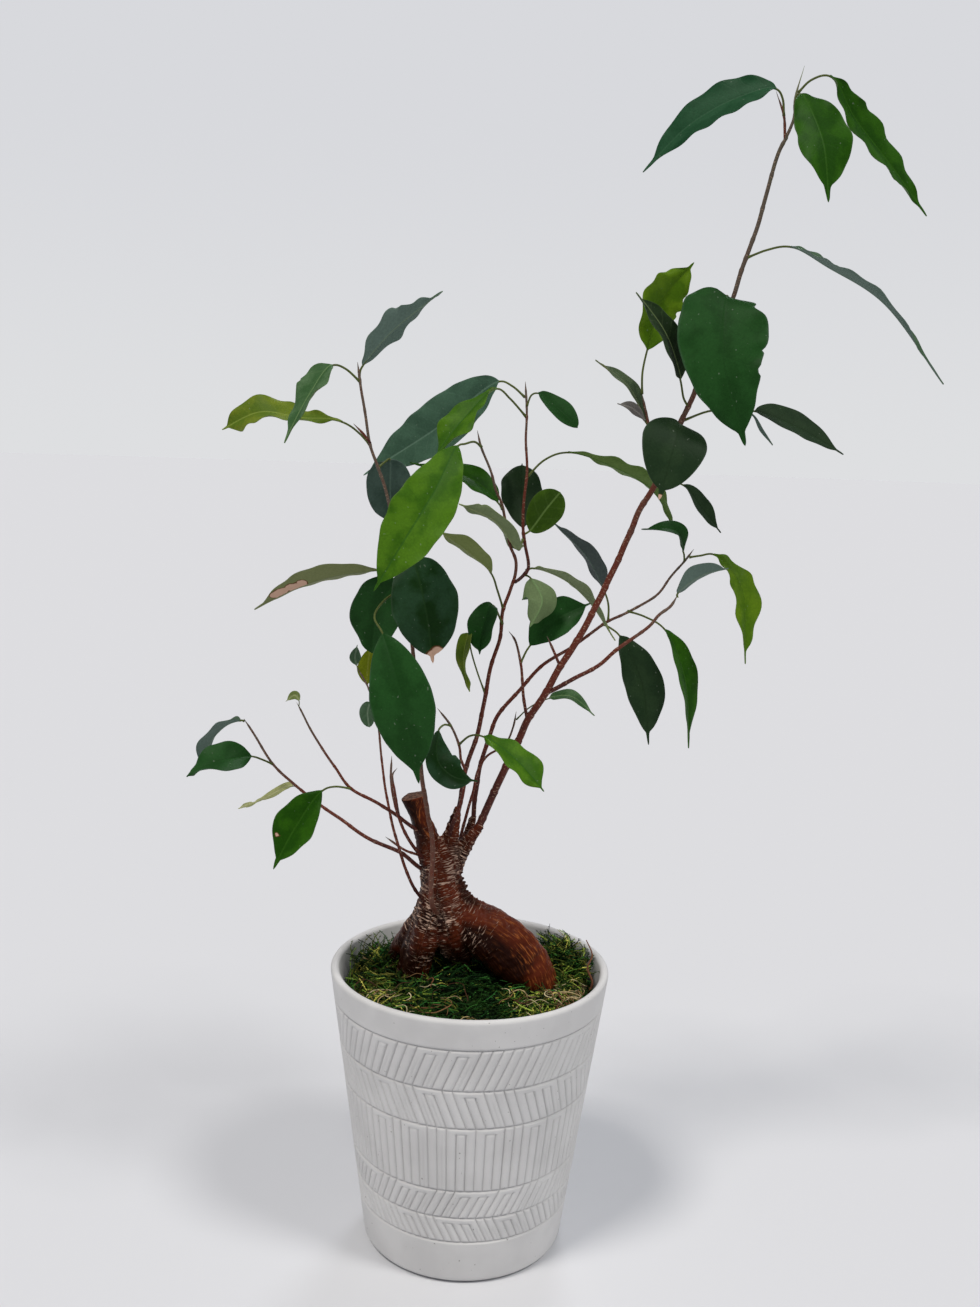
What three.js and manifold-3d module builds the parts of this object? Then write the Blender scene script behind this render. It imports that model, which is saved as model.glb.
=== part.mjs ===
// A small ficus with a swollen root, planted in a tapered stoneware pot with herringbone bands.
// Millimetres, +Z up, the front towards -Y. The origin is the centre of the pot's flat underside.
import * as THREE from 'three';
import { mergeVertices } from 'three/addons/utils/BufferGeometryUtils.js';
import Module from 'manifold-3d';

const wasm = await Module();
wasm.setup();

// Driving dimensions of the pot.
const POT_HEIGHT = 134.7;
const RIM_RADIUS = 66;
const BASE_RADIUS = 47.5;
const WALL = 4;
const FLOOR = 6;
const STROKES = 36;
const RELIEF = 0.7;
const LINE_HALF = 0.8;

// The bands of the relief, from the foot up: upper line, and how far a stroke leans right per mm of height.
const FIRST_LINE = 22.2;
const BANDS = [
  { top: 35.0, lean: -0.46 },
  { top: 49.2, lean: 0.46 },
  { top: 81.5, lean: 0 },
  { top: 100.3, lean: -0.36 },
  { top: 120.4, lean: 0.4 },
];

// What fills the pot. CLEAR is the gap that parts which touch keep between them.
const CLEAR = 0.35;
const SOIL_TOP = 117;
const MOSS_TOP = 123.5;
const MOSS_SIDES = 28;
const MOSS_RINGS = [0.95, 0.76, 0.54, 0.28];
const SOIL_SIDES = 32;
const MOSS_MOUNDS = [[-12, -4, 22, 9], [32, -10, 16, 6], [-46, 14, 9, 3.6], [46, 22, 10, 6]];

// Leaves: the blade's thickness, its stalk, its fold, the wave of its margin as a share of its width,
// and the widths above which a blade gets more stations and more columns.
const BLADE = 0.76;
const STALK_RADIUS = 0.62;
const FOLD = THREE.MathUtils.degToRad(14);
const WAVE = 0.035;
const SMALL = 9;
const BROAD = 26.5;

// A limb of the swollen root and its neck: points of its centre line, each with a radius.
const LIMBS = [
  { name: 'neck', steps: 6, sides: 12, path: [[-10, -1, 150, 12], [-11, -2, 160, 12.5], [-13, -3, 168, 11],
    [-15, -4, 176, 9.2], [-15.5, -4, 183, 9], [-16.5, -4, 190, 8.8], [-18, -4, 196, 6.2]] },
  { name: 'cut stub', steps: 4, sides: 9, path: [[-18, -5, 187, 8], [-21.5, -5, 197, 5.8],
    [-25, -5, 206, 5.1], [-27, -5, 212, 5.4], [-28.4, -5, 217, 6.4]] },
  { name: 'middle spur', steps: 2, sides: 7, path: [[-13, -4, 186, 6.5], [-11, -4, 197, 4.6], [-8.6, -4, 207, 2.9]] },
  { name: 'right spur', steps: 2, sides: 7, path: [[-12.5, -2, 180, 5], [-7.5, -1, 188, 4.9], [-3, 0.5, 197, 3.5]] },
  { name: 'back spur', steps: 2, sides: 7, path: [[-12, 1, 179, 5.5], [-6.3, 4, 189, 4.6], [-3, 6.5, 197, 2.8]] },
  { name: 'left leg', steps: 5, sides: 7, path: [[-15, -2, 167, 8], [-21.5, 0, 157, 6.6], [-28, 4, 147, 5.8],
    [-34, 9, 137, 5], [-38, 14, 124, 4.2], [-40, 16, 106, 2.8]] },
  { name: 'left web', steps: 4, sides: 7, path: [[-17, -5, 165, 7], [-22, -4, 154, 6.4], [-26, -2, 144, 5.4],
    [-30, 1, 133, 4.4], [-32, 3, 112, 3]] },
  { name: 'front leg', steps: 5, sides: 8, path: [[-16, -6, 168, 8], [-19, -7.5, 158, 7], [-21.5, -8, 149, 6.6],
    [-24, -7, 140, 6.5], [-26, -4, 130, 6.2], [-27, -2, 119, 5.4], [-27.5, -1, 106, 3]] },
  { name: 'middle leg', steps: 5, sides: 8, path: [[-12, -6, 165, 8.5], [-10, -6.5, 156, 9], [-8, -4, 148, 8.2],
    [-6, 2, 140, 6.6], [-5, 9, 130, 5.6], [-5, 13, 108, 4]] },
  { name: 'right bulb', steps: 7, sides: 11, path: [[-8, -3, 161, 8.5], [1, -5, 156.5, 11], [9.5, -6, 151.5, 12.4],
    [17.5, -6.5, 144.5, 13], [24.5, -6.5, 136.5, 12.6], [31, -6, 128, 11], [36.5, -5, 118, 8.4],
    [41, -4, 106, 4.6]] },
  { name: 'back left leg', steps: 4, sides: 8, path: [[-13, 4, 164, 8], [-15, 12, 152, 8], [-18, 21, 138, 7],
    [-20, 28, 124, 5.4], [-21, 31, 107, 3]] },
  { name: 'back right leg', steps: 4, sides: 8, path: [[-4, 4, 159, 8], [4, 13, 148, 8.4], [12, 22, 136, 7.6],
    [18, 29, 123, 5.4], [21, 33, 107, 3]] },
];

// Leafy shoots. A stem is a centre line with its radius at the foot and at the end.
// A leaf is the line of its stalk, the line of its midrib from base to tip, its width, how far it is
// turned about its midrib from facing the front (degrees), and where along it the blade is widest. A
// round leaf also has a low number for blunt, which fills its outline out.
const SHOOTS = [
  { name: 'shoot_low_left', bark: 0x6b3325, green: 0x2f5c33,
    stems: [
      { r: [1.3, 0.6], path: [[-17, -6, 178], [-25, -6, 183], [-34, -4, 189], [-49, 0, 194], [-63, 4, 202],
        [-75, 7, 209], [-87, 9, 218], [-96, 10, 226], [-104, 12, 238], [-110, 12, 247]] },
    ],
    leaves: [
      { stalk: [[-110, 12, 246]], rib: [[-112, 13, 246], [-118, 16, 244], [-127, 20, 235], [-134, 24, 222]],
        width: 18, turn: 103, wide: 0.5 },
      { stalk: [[-96, 10, 226], [-101, 7, 229]],
        rib: [[-105, 4, 231], [-115, -3, 231], [-125, -8, 228], [-132, -10, 224]], width: 20, turn: 58, wide: 0.5 },
      { stalk: [[-80, 8, 212]], rib: [[-87, 13, 215], [-101, 18, 207], [-114, 20, 201]],
        width: 8, turn: 60, wide: 0.4 },
    ] },
  { name: 'shoot_upper_left', bark: 0x6b3325, green: 0x3f6b27,
    stems: [
      { r: [1.2, 0.5], path: [[-20, -5, 195], [-27, -9, 202], [-34, -12, 208], [-43, -15, 215], [-56, -19, 223],
        [-63, -21, 233], [-70, -23, 244], [-75, -24, 253], [-80, -25, 263]] },
    ],
    leaves: [
      { stalk: [[-56, -19, 223], [-63, -24, 225]], rib: [[-68, -28, 224], [-79, -33, 208], [-88, -36, 190]],
        width: 20, turn: 28, wide: 0.48 },
      { stalk: [[-79, -25, 261]], rib: [[-79, -25, 264], [-81, -24, 266], [-85, -23, 263]],
        width: 4, turn: 20, wide: 0.5 },
    ] },
  { name: 'shoot_thin_left', bark: 0x5f2d22, green: 0x4c6b3a,
    stems: [
      { r: [1.0, 0.5], path: [[-19, -8, 163], [-26, -13, 174], [-31, -15, 185], [-34, -12, 193], [-38, -4, 202],
        [-41, 0, 213], [-43, 2, 224], [-45, 4, 238], [-47, 6, 252], [-51, 7, 264], [-57, 8, 274]] },
    ],
    leaves: [
      { stalk: [[-56, 8, 273]], rib: [[-57, 8, 275], [-58, 9, 279], [-57, 10, 284]], width: 6, turn: 30, wide: 0.5 },
      { stalk: [[-51, 7, 264]], rib: [[-52, 9, 266], [-51, 11, 274], [-51, 12, 282]],
        width: 7, turn: 10, wide: 0.5 },
      { stalk: [[-49, 6, 257]], rib: [[-50, 4, 258], [-51, 3, 254], [-50, 2, 247]], width: 8, turn: 10, wide: 0.5 },
    ] },
  { name: 'twigs_left', bark: 0x4f2a20, green: 0x4f2a20,
    stems: [
      { r: [1.1, 0.6], path: [[-20, -8, 185], [-26, -13, 193], [-32, -17, 204], [-36, -19, 216], [-38, -20, 228],
        [-38, -20, 239]] },
      { r: [0.8, 0.6], path: [[-24, -11, 190], [-31, -19, 195], [-40, -22, 202]] },
      { r: [0.7, 0.6], path: [[-34, -18, 210], [-36, -24, 224], [-37, -26, 232], [-35, -26, 235]] },
    ],
    leaves: [] },
  { name: 'shoot_front', bark: 0x6b3325, green: 0x27502a,
    stems: [
      { r: [1.5, 0.7], path: [[-14, -9, 160], [-18, -17.5, 169], [-19, -18, 179], [-18.5, -17.4, 193],
        [-19, -18, 202], [-21, -20, 212], [-23, -22, 224], [-25, -23, 238], [-27, -24, 266], [-30, -23, 292],
        [-36, -20, 327], [-40, -20, 346], [-43, -20, 357], [-47, -20, 368], [-50, -20, 376], [-52, -20, 387],
        [-54, -20, 398], [-56, -20, 411]] },
      { r: [0.7, 0.6], path: [[-50, -20, 377], [-53, -22, 381], [-57, -24, 385]] },
    ],
    leaves: [
      { stalk: [[-55, -20, 403], [-55, -19, 407]],
        rib: [[-54, -18, 410], [-43, -15, 424], [-32, -12, 434], [-21, -8, 443]], width: 20, turn: -115, wide: 0.5 },
      { stalk: [[-55, -20, 403], [-61, -24, 408]], rib: [[-66, -28, 409], [-74, -34, 397], [-84, -40, 376]],
        width: 18, turn: 58, wide: 0.45 },
      { stalk: [[-50, -20, 376], [-55, -17, 381]],
        rib: [[-63, -14, 386], [-82, -6, 387], [-101, 0, 389], [-119, 6, 381]], width: 20, turn: 62, wide: 0.55 },
      { stalk: [[-46, -20, 367], [-44, -16, 369]], rib: [[-42, -11, 370], [-42, -6, 357], [-41, -2, 343]],
        width: 20, turn: 12, wide: 0.5, blunt: 0.66 },
      { stalk: [[-35, -20, 321], [-41, -18, 323]],
        rib: [[-46, -16, 322], [-66, -9, 318], [-85, -2, 311], [-104, 5, 300]], width: 20, turn: 112, wide: 0.45 },
      { stalk: [[-35, -20, 324], [-32, -23, 327]], rib: [[-30, -26, 327], [-24, -32, 308], [-20, -34, 284]],
        width: 28, turn: -5, wide: 0.48, blunt: 0.66 },
      { stalk: [[-33, -21, 310], [-36, -17, 313]], rib: [[-38, -15, 315], [-48, -10, 305], [-56, -5, 288]],
        width: 25, turn: 20, wide: 0.5 },
      { stalk: [[-34, -21, 315], [-42, -32, 310], [-45, -42, 304]],
        rib: [[-41, -47, 298], [-33, -56, 276], [-28, -56, 255], [-24, -52, 235]], width: 27, turn: -6, wide: 0.48 },
    ] },
  { name: 'shoot_middle', bark: 0x5a2a22, green: 0x4f7f2c,
    stems: [
      { r: [1.5, 0.6], path: [[-9.8, -4, 201], [-7, -4, 213], [-5, -4, 229], [0, -5, 246], [3, -5, 263],
        [5, -5, 277], [9, -4, 291], [10, -3, 304], [13, -2, 313], [15, -2, 320], [15, -3, 327], [12, -5, 334],
        [8, -8, 352], [5, -9, 358], [3, -10, 365], [-2, -12, 377], [-4, -13, 384]] },
      { r: [1.0, 0.6], path: [[15, -2, 317], [18, 1, 319], [21, 3, 323], [19, 4, 334], [18, 4, 340], [18, 6, 354],
        [19, 9, 367], [18, 11, 381], [18, 13, 394], [17, 14, 407]] },
    ],
    leaves: [
      { stalk: [[-2, -12, 377], [-5, -17, 379], [-9, -23, 378]],
        rib: [[-12, -28, 377], [-21, -40, 358], [-33, -47, 337], [-45, -48, 316]], width: 26, turn: 8, wide: 0.5 },
      { stalk: [[10, -3, 305], [7, -8, 314]], rib: [[4, -12, 322], [-7, -18, 332], [-20, -24, 341]],
        width: 17, turn: 120, wide: 0.5 },
      { stalk: [[3, -5, 266], [-1, -9, 277], [-4, -11, 287]], rib: [[-5, -12, 294], [-7, -16, 283], [-4, -18, 269]],
        width: 11, turn: 58, wide: 0.45 },
      { stalk: [[10, -4, 298]], rib: [[5, -8, 307], [1, -15, 297], [0, -18, 286]], width: 14, turn: 40, wide: 0.5 },
      { stalk: [[20, 2, 320]], rib: [[22, -4, 319], [27, -12, 310], [22, -18, 299]],
        width: 16, turn: 150, wide: 0.45 },
      { stalk: [[20, 3, 322]], rib: [[24, 6, 323], [38, 9, 318], [50, 11, 308], [63, 11, 290]],
        width: 16, turn: -104, wide: 0.45 },
      { stalk: [[18, 3, 336]], rib: [[16, -4, 332], [5, -12, 345], [-11, -16, 352]],
        width: 15, turn: 118, wide: 0.5 },
      { stalk: [[8, -8, 350]], rib: [[6, -5, 353], [-7, 0, 363], [-34, 4, 369]], width: 20, turn: 52, wide: 0.5 },
      { stalk: [[18, 4, 339]], rib: [[18, 8, 341], [17, 16, 355], [17, 22, 370]], width: 21, turn: 8, wide: 0.55, blunt: 0.66 },
      { stalk: [[18, 4, 338]], rib: [[21, 4, 340], [28, 2, 350], [34, 0, 358]], width: 16, turn: -10, wide: 0.55 },
      { stalk: [[17, 14, 400], [11, 17, 405]], rib: [[5, 20, 407], [-22, 30, 386], [-58, 38, 362]],
        width: 26, turn: 22, wide: 0.5 },
      { stalk: [[18, 13, 391], [10, 7, 399]], rib: [[4, 2, 403], [-10, -6, 389], [-23, -12, 371]],
        width: 19, turn: 48, wide: 0.45 },
      { stalk: [[18, 13, 396], [20, 13, 401]], rib: [[23, 12, 402], [31, 9, 396], [41, 7, 387]],
        width: 12, turn: -45, wide: 0.5 },
      { stalk: [[19, 9, 364], [27, 14, 372]], rib: [[38, 20, 376], [60, 26, 370], [80, 30, 359], [92, 33, 339]],
        width: 19, turn: -110, wide: 0.5 },
    ] },
  { name: 'shoot_right_low', bark: 0x5a2a22, green: 0x3d7024,
    stems: [
      { r: [1.5, 0.6], path: [[-4, 4, 188], [-1, 8, 198], [0, 12, 212], [2, 14, 227], [5, 15, 238], [9, 17, 250],
        [20, 20, 264], [29, 23, 274], [36, 25, 279], [46, 27, 285], [60, 28, 296], [69, 27, 301], [83, 26, 310],
        [89, 24, 319], [95, 22, 327], [99, 21, 333]] },
    ],
    leaves: [
      { stalk: [[95, 22, 327]], rib: [[94, 20, 332], [90, 17, 341], [73, 12, 342]], width: 13, turn: 62, wide: 0.5 },
      { stalk: [[97, 21, 329], [102, 20, 330]], rib: [[108, 18, 331], [120, 12, 317], [123, 4, 282]],
        width: 20, turn: -44, wide: 0.55 },
      { stalk: [[59, 28, 295], [62, 22, 294]], rib: [[66, 19, 291], [77, 14, 269], [81, 10, 241]],
        width: 20, turn: -20, wide: 0.55 },
      { stalk: [[70, 27, 302], [78, 22, 300]], rib: [[87, 17, 295], [97, 14, 272], [100, 10, 240]],
        width: 18, turn: -55, wide: 0.5 },
      { stalk: [[61, 28, 297], [61, 30, 304]], rib: [[59, 32, 311], [50, 36, 327], [34, 38, 342]],
        width: 16, turn: 118, wide: 0.5 },
    ] },
  { name: 'shoot_tall', bark: 0x74382a, green: 0x2c5a2c,
    stems: [
      { r: [2.3, 1.0], path: [[-6, -1.5, 187], [-1, -0.5, 196], [3, 0, 204], [7, 0, 214], [13, -1, 229],
        [20, -3, 246], [23, -4, 254], [30, -6, 266], [37, -7, 280], [46, -8, 296], [56, -8, 318], [65, -8, 340],
        [69, -8, 351], [76, -8, 364], [85, -6, 389], [89, -5, 398], [106, -3, 445], [110, -3, 460],
        [115, -3, 476], [119, -4, 495], [122, -5, 507], [125, -5, 513]] },
      { r: [0.9, 0.5], path: [[124, -5, 511], [127, -6, 520], [127, -6, 527], [130, -6, 541]] },
      { r: [0.8, 0.5], path: [[124, -5, 511], [123, -4, 521], [119, -4, 531]] },
      { r: [1.3, 0.8], path: [[31, -6, 267], [44, -8, 275], [55, -9, 282], [62, -10, 289], [76, -10, 300],
        [80, -10, 305], [85, -9, 309], [88, -8, 314]] },
      { r: [1.0, 0.6], path: [[23, -4, 253], [21, -3, 263], [20, -2, 271], [19, -1, 280], [16, 1, 290],
        [13, 2, 294]] },
      { r: [0.9, 0.6], path: [[37, -7, 279], [33, -9, 288], [30, -10, 294]] },
      { r: [1.0, 0.7], path: [[78, -8, 369], [75, 2, 379], [73, 8, 390], [70, 12, 403]] },
    ],
    leaves: [
      { stalk: [[88, -8, 313]], rib: [[88, -8, 315], [99, -3, 323], [112, 2, 326]], width: 15, turn: -125, wide: 0.45 },
      { stalk: [[19, -1, 280]], rib: [[23, 0, 288], [36, 1, 301], [50, 2, 308]], width: 19, turn: -30, wide: 0.5 },
      { stalk: [[123, -4, 521], [122, -4, 528]], rib: [[119, -4, 532], [104, 1, 529], [85, 8, 519], [66, 15, 500]],
        width: 23, turn: 42, wide: 0.5 },
      { stalk: [[127, -6, 524], [127, -9, 528]], rib: [[128, -12, 528], [136, -22, 507], [139, -27, 482]],
        width: 24, turn: -15, wide: 0.5 },
      { stalk: [[128, -6, 530], [133, -7, 535]], rib: [[140, -7, 537], [152, -1, 522], [173, 7, 504], [193, 13, 485]],
        width: 21, turn: -42, wide: 0.5 },
      { stalk: [[111, -3, 462], [119, -7, 465]], rib: [[128, -12, 466], [143, -19, 457], [164, -30, 442],
        [190, -36, 409]], width: 20, turn: -72, wide: 0.55 },
      { stalk: [[105, -3, 443]], rib: [[102, -9, 445], [100, -22, 417], [111, -25, 381]],
        width: 38, turn: 6, wide: 0.42, blunt: 0.6 },
      { stalk: [[86, -6, 391], [99, 0, 396], [111, 5, 397]], rib: [[121, 8, 397], [143, 14, 390], [165, 18, 379]],
        width: 18, turn: -50, wide: 0.45 },
      { stalk: [[111, 5, 397]], rib: [[119, 4, 395], [124, 2, 388], [128, 0, 382]], width: 8, turn: -20, wide: 0.5 },
      { stalk: [[70, 12, 403], [70, 14, 413]], rib: [[72, 16, 423], [78, 20, 446], [92, 23, 463]],
        width: 21, turn: 18, wide: 0.5 },
      { stalk: [[89, -5, 397], [86, -8, 401]], rib: [[84, -10, 409], [76, -15, 427], [62, -18, 444]],
        width: 17, turn: 50, wide: 0.45 },
      { stalk: [[74, 6, 387]], rib: [[72, 9, 391], [64, 14, 406], [49, 20, 418]], width: 13, turn: 64, wide: 0.5 },
      { stalk: [[74, 5, 385]], rib: [[71, 5, 391], [65, 3, 396], [58, 0, 398]], width: 6, turn: 40, wide: 0.5 },
      { stalk: [[84, -6, 386]], rib: [[83, -11, 390], [79, -24, 374], [75, -27, 357]],
        width: 28, turn: 0, wide: 0.4, blunt: 0.62 },
      { stalk: [[76, -8, 364], [83, -6, 364]], rib: [[89, -3, 363], [98, 1, 353], [108, 4, 342]],
        width: 13, turn: -52, wide: 0.5 },
    ] },
  { name: 'shoot_short_right', bark: 0x4f2a20, green: 0x5d8a2a,
    stems: [
      { r: [1.0, 0.5], path: [[-7, 2, 191], [-5, 4, 201], [-3, 4, 209], [-1, 4, 217], [1, 5, 227], [5, 5, 234],
        [13, 5, 240], [17, 5, 249], [18, 5, 256]] },
    ],
    leaves: [
      { stalk: [[18, 5, 252], [24, 5, 258]], rib: [[33, 4, 263], [43, 3, 264], [54, 1, 256]],
        width: 9, turn: -65, wide: 0.45 },
    ] },
  { name: 'shoot_short_front', bark: 0x4f2a20, green: 0x3f7f24,
    stems: [
      { r: [1.1, 0.6], path: [[-11.5, -5, 196], [-10, -9.5, 205], [-6, -11, 217], [-5, -12, 231], [-7, -14, 237],
        [-8, -15, 244], [-12, -17, 253], [-18, -19, 261]] },
    ],
    leaves: [
      { stalk: [[-8, -15, 244], [-3, -19, 249]], rib: [[3, -24, 250], [18, -31, 241], [30, -36, 229]],
        width: 17, turn: -52, wide: 0.5 },
      { stalk: [[-12, -17, 253], [-15, -21, 254]], rib: [[-17, -24, 252], [-17, -30, 240], [-10, -31, 233],
        [1, -30, 231]], width: 17, turn: -40, wide: 0.5 },
    ] },
];

const vec = ([x, y, z]) => new THREE.Vector3(x, y, z);

// A closed solid for joining and cutting, from flat arrays of points and triangles.
function solid(points, triangles) {
  const geometry = new THREE.BufferGeometry();
  geometry.setAttribute('position', new THREE.Float32BufferAttribute(points, 3));
  geometry.setIndex(triangles);
  const merged = mergeVertices(geometry, 1e-5);
  return new wasm.Manifold(new wasm.Mesh({
    numProp: 3,
    vertProperties: new Float32Array(merged.attributes.position.array),
    triVerts: new Uint32Array(merged.index.array),
  }));
}

// Triangles of a grid of rings that close on themselves, with both ends capped by a fan about the two
// points that follow the rings. From the column flipFrom on, each quad is split the other way.
function ringTriangles(rings, columns, flipFrom = columns) {
  const triangles = [];
  for (let i = 0; i < rings - 1; i += 1) {
    for (let j = 0; j < columns; j += 1) {
      const a = i * columns + j;
      const b = i * columns + ((j + 1) % columns);
      if (j < flipFrom) {
        triangles.push(a, b, b + columns, a, b + columns, a + columns);
      } else {
        triangles.push(a, b, a + columns, b, b + columns, a + columns);
      }
    }
  }
  const start = rings * columns;
  const last = (rings - 1) * columns;
  for (let j = 0; j < columns; j += 1) {
    const next = (j + 1) % columns;
    triangles.push(start, next, j);
    triangles.push(start + 1, last + j, last + next);
  }
  return triangles;
}

// A round bar along a centre line. radiusAt gives the radius at a share of the length and an angle.
function bar(centreLine, radiusAt, sides, steps) {
  const curve = new THREE.CatmullRomCurve3(centreLine, false, 'centripetal');
  const frames = curve.computeFrenetFrames(steps, false);
  const points = [];
  for (let i = 0; i <= steps; i += 1) {
    const share = i / steps;
    const centre = curve.getPointAt(share);
    for (let j = 0; j < sides; j += 1) {
      const angle = (2 * Math.PI * j) / sides;
      const reach = radiusAt(share, angle);
      const point = centre.clone()
        .addScaledVector(frames.normals[i], reach * Math.cos(angle))
        .addScaledVector(frames.binormals[i], reach * Math.sin(angle));
      points.push(point.x, point.y, point.z);
    }
  }
  for (const end of [0, 1]) {
    const centre = curve.getPointAt(end);
    points.push(centre.x, centre.y, centre.z);
  }
  return solid(points, ringTriangles(steps + 1, sides));
}

// A limb's radius between its listed points, with two shallow ridges that turn round it.
function limb({ path, steps, sides }, extra) {
  const centreLine = path.map(vec);
  const radii = new THREE.CatmullRomCurve3(path.map((p, i) => new THREE.Vector3(i, p[3], 0)), false, 'centripetal');
  const radiusAt = (share, angle) => {
    const ridge = 1 + 0.05 * Math.sin(3 * angle + 7 * share);
    return radii.getPoint(share).y * ridge + extra;
  };
  return bar(centreLine, radiusAt, sides, steps);
}

function trunkSolid(extra) {
  return LIMBS.map((one) => limb(one, extra)).reduce((all, one) => all.add(one));
}

function stemSolid({ r, path }, extra) {
  const line = path.map(vec);
  if (extra > 0) {
    const back = line[0].clone().sub(line[1]).setLength(extra);
    line[0].add(back);
  }
  const sides = r[0] > 1.4 ? 6 : 5;
  const steps = Math.max(3, Math.round(path.length * 0.95));
  return bar(line, (share) => r[0] + (r[1] - r[0]) * share + extra, sides, steps);
}

// The half width of a blade: a rounded base, one widest place and a drawn-out drip tip.
function halfWidth({ width, wide, blunt = 0.8 }, t) {
  const power = Math.log(0.5) / Math.log(wide);
  const body = Math.sin(Math.PI * Math.min(1, t ** power)) ** blunt;
  const tip = 1 - 0.5 * THREE.MathUtils.smoothstep(t, 0.78, 1);
  return Math.max(STALK_RADIUS, 0.5 * width * body * tip);
}

// The blade's own directions at a place on its midrib: turned about it from facing the front.
function bladeSide(along, turn) {
  const away = new THREE.Vector3(0, 1, 0);
  const level = along.clone().cross(away).normalize();
  const front = along.clone().cross(level);
  const turned = THREE.MathUtils.degToRad(turn);
  return level.multiplyScalar(Math.cos(turned)).addScaledVector(front, Math.sin(turned));
}

// A leaf is one closed body: rings of points round its stalk go over into rings round its blade, which
// is folded up a little on both sides of the midrib and has a waved margin. The blade's front and back
// carry the same triangles, so they never cross.
function leafSolid(leaf, number) {
  const { stalk, rib, width, turn } = leaf;
  const stations = width > SMALL ? 6 : 4;
  const across = width > BROAD ? 4 : 2;
  const columns = 2 * (across + 1);
  const wave = width * WAVE;
  const curve = new THREE.CatmullRomCurve3([...stalk, ...rib].map(vec), false, 'centripetal');
  const stalkSteps = stalk.length;
  const foot = stalkSteps / (stalkSteps + rib.length - 1);
  const baseSide = bladeSide(curve.getTangent(foot), turn);
  const points = [];
  const addRing = (place, side, upper, offsets) => {
    for (const [sideways, upwards] of offsets) {
      const point = place.clone().addScaledVector(side, sideways).addScaledVector(upper, upwards);
      points.push(point.x, point.y, point.z);
    }
  };
  const spread = Array.from({ length: across + 1 }, (_, j) => 1 - (2 * j) / across);
  for (let i = 0; i < stalkSteps; i += 1) {
    const u = (foot * i) / stalkSteps;
    const along = curve.getTangent(u);
    const side = baseSide.clone().addScaledVector(along, -baseSide.dot(along)).normalize();
    const round = spread.map((s) => [s * STALK_RADIUS, Math.sqrt(1.25 - s * s) * STALK_RADIUS]);
    const under = round.map(([x, y]) => [x, -y]).reverse();
    addRing(curve.getPoint(u), side, along.clone().cross(side), [...round, ...under]);
  }
  for (let i = 0; i <= stations; i += 1) {
    const t = i / stations;
    const u = foot + (1 - foot) * t;
    const along = curve.getTangent(u);
    const side = bladeSide(along, turn);
    const half = halfWidth(leaf, t);
    const middle = spread.map((s) => [
      s * half * Math.cos(FOLD),
      Math.abs(s) * half * Math.sin(FOLD) + s * s * wave * Math.sin(2.6 * Math.PI * t + 1.7 * s + number),
    ]);
    const over = middle.map(([x, y]) => [x, y + BLADE / 2]);
    const under = middle.map(([x, y]) => [x, y - BLADE / 2]).reverse();
    addRing(curve.getPoint(u), side, along.clone().cross(side), [...over, ...under]);
  }
  for (const u of [0, 1]) {
    const end = curve.getPoint(u);
    points.push(end.x, end.y, end.z);
  }
  return solid(points, ringTriangles(stalkSteps + stations + 1, columns, across + 1));
}

function shootSolid({ stems, leaves }) {
  const pieces = [...stems.map((stem) => stemSolid(stem, 0)), ...leaves.map(leafSolid)];
  return pieces.reduce((all, one) => all.add(one));
}

function potRadius(z) {
  return BASE_RADIUS + ((RIM_RADIUS - BASE_RADIUS) * z) / POT_HEIGHT;
}

// How far, in mm along the wall, the strokes have leaned by a given height.
function strokeShift(z) {
  let shift = 0;
  let low = FIRST_LINE;
  for (const { top, lean } of BANDS) {
    shift += lean * (THREE.MathUtils.clamp(z, low, top) - low);
    low = top;
  }
  return shift;
}

// The pot: rings of points up the outside, over the lip and down the inside. On a band's rings every
// second point is drawn in, which leaves a raised stroke between each two grooves.
function potSolid() {
  const plain = (z, inset) => ({ z, crest: inset, groove: inset });
  const rings = [plain(0, 3.4), plain(0.9, 1.1), plain(3.4, 0)];
  const lines = [FIRST_LINE, ...BANDS.map((band) => band.top)];
  lines.forEach((z, i) => {
    const below = i === 0 ? 0 : RELIEF;
    const above = i === BANDS.length ? 0 : RELIEF;
    rings.push({ z: z - LINE_HALF, crest: 0, groove: below });
    rings.push(plain(z, RELIEF));
    rings.push({ z: z + LINE_HALF, crest: 0, groove: above });
  });
  rings.push(plain(POT_HEIGHT - 2.4, 0), plain(POT_HEIGHT - 0.5, 0.8), plain(POT_HEIGHT, 2));
  rings.push(plain(POT_HEIGHT - 0.6, 3.3), plain(POT_HEIGHT - 3, WALL), plain(FLOOR + 3, WALL));
  rings.push(plain(FLOOR, WALL + 3));
  const columns = 2 * STROKES;
  const points = [];
  for (const { z, crest, groove } of rings) {
    for (let j = 0; j < columns; j += 1) {
      const radius = potRadius(z) - (j % 2 === 0 ? crest : groove);
      const angle = (2 * Math.PI * j) / columns + strokeShift(z) / potRadius(z);
      points.push(radius * Math.cos(angle), radius * Math.sin(angle), z);
    }
  }
  points.push(0, 0, 0, 0, 0, FLOOR);
  return solid(points, ringTriangles(rings.length, columns));
}

// Soil: the filling of the pot, a gap clear of its wall and floor.
function soilSolid() {
  const inner = (z) => potRadius(z) - WALL - CLEAR - 0.15;
  const low = FLOOR + CLEAR;
  const profile = [[0, low], [inner(low) - 3.4, low], [inner(low + 3.4), low + 3.4],
    [inner(SOIL_TOP), SOIL_TOP], [0, SOIL_TOP]];
  const lathe = new THREE.LatheGeometry(profile.map(([r, y]) => new THREE.Vector2(r, y)), SOIL_SIDES);
  lathe.rotateX(Math.PI / 2);
  lathe.deleteAttribute('normal');
  lathe.deleteAttribute('uv');
  const merged = mergeVertices(lathe, 1e-4);
  return solid(merged.attributes.position.array, Array.from(merged.index.array));
}

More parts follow.
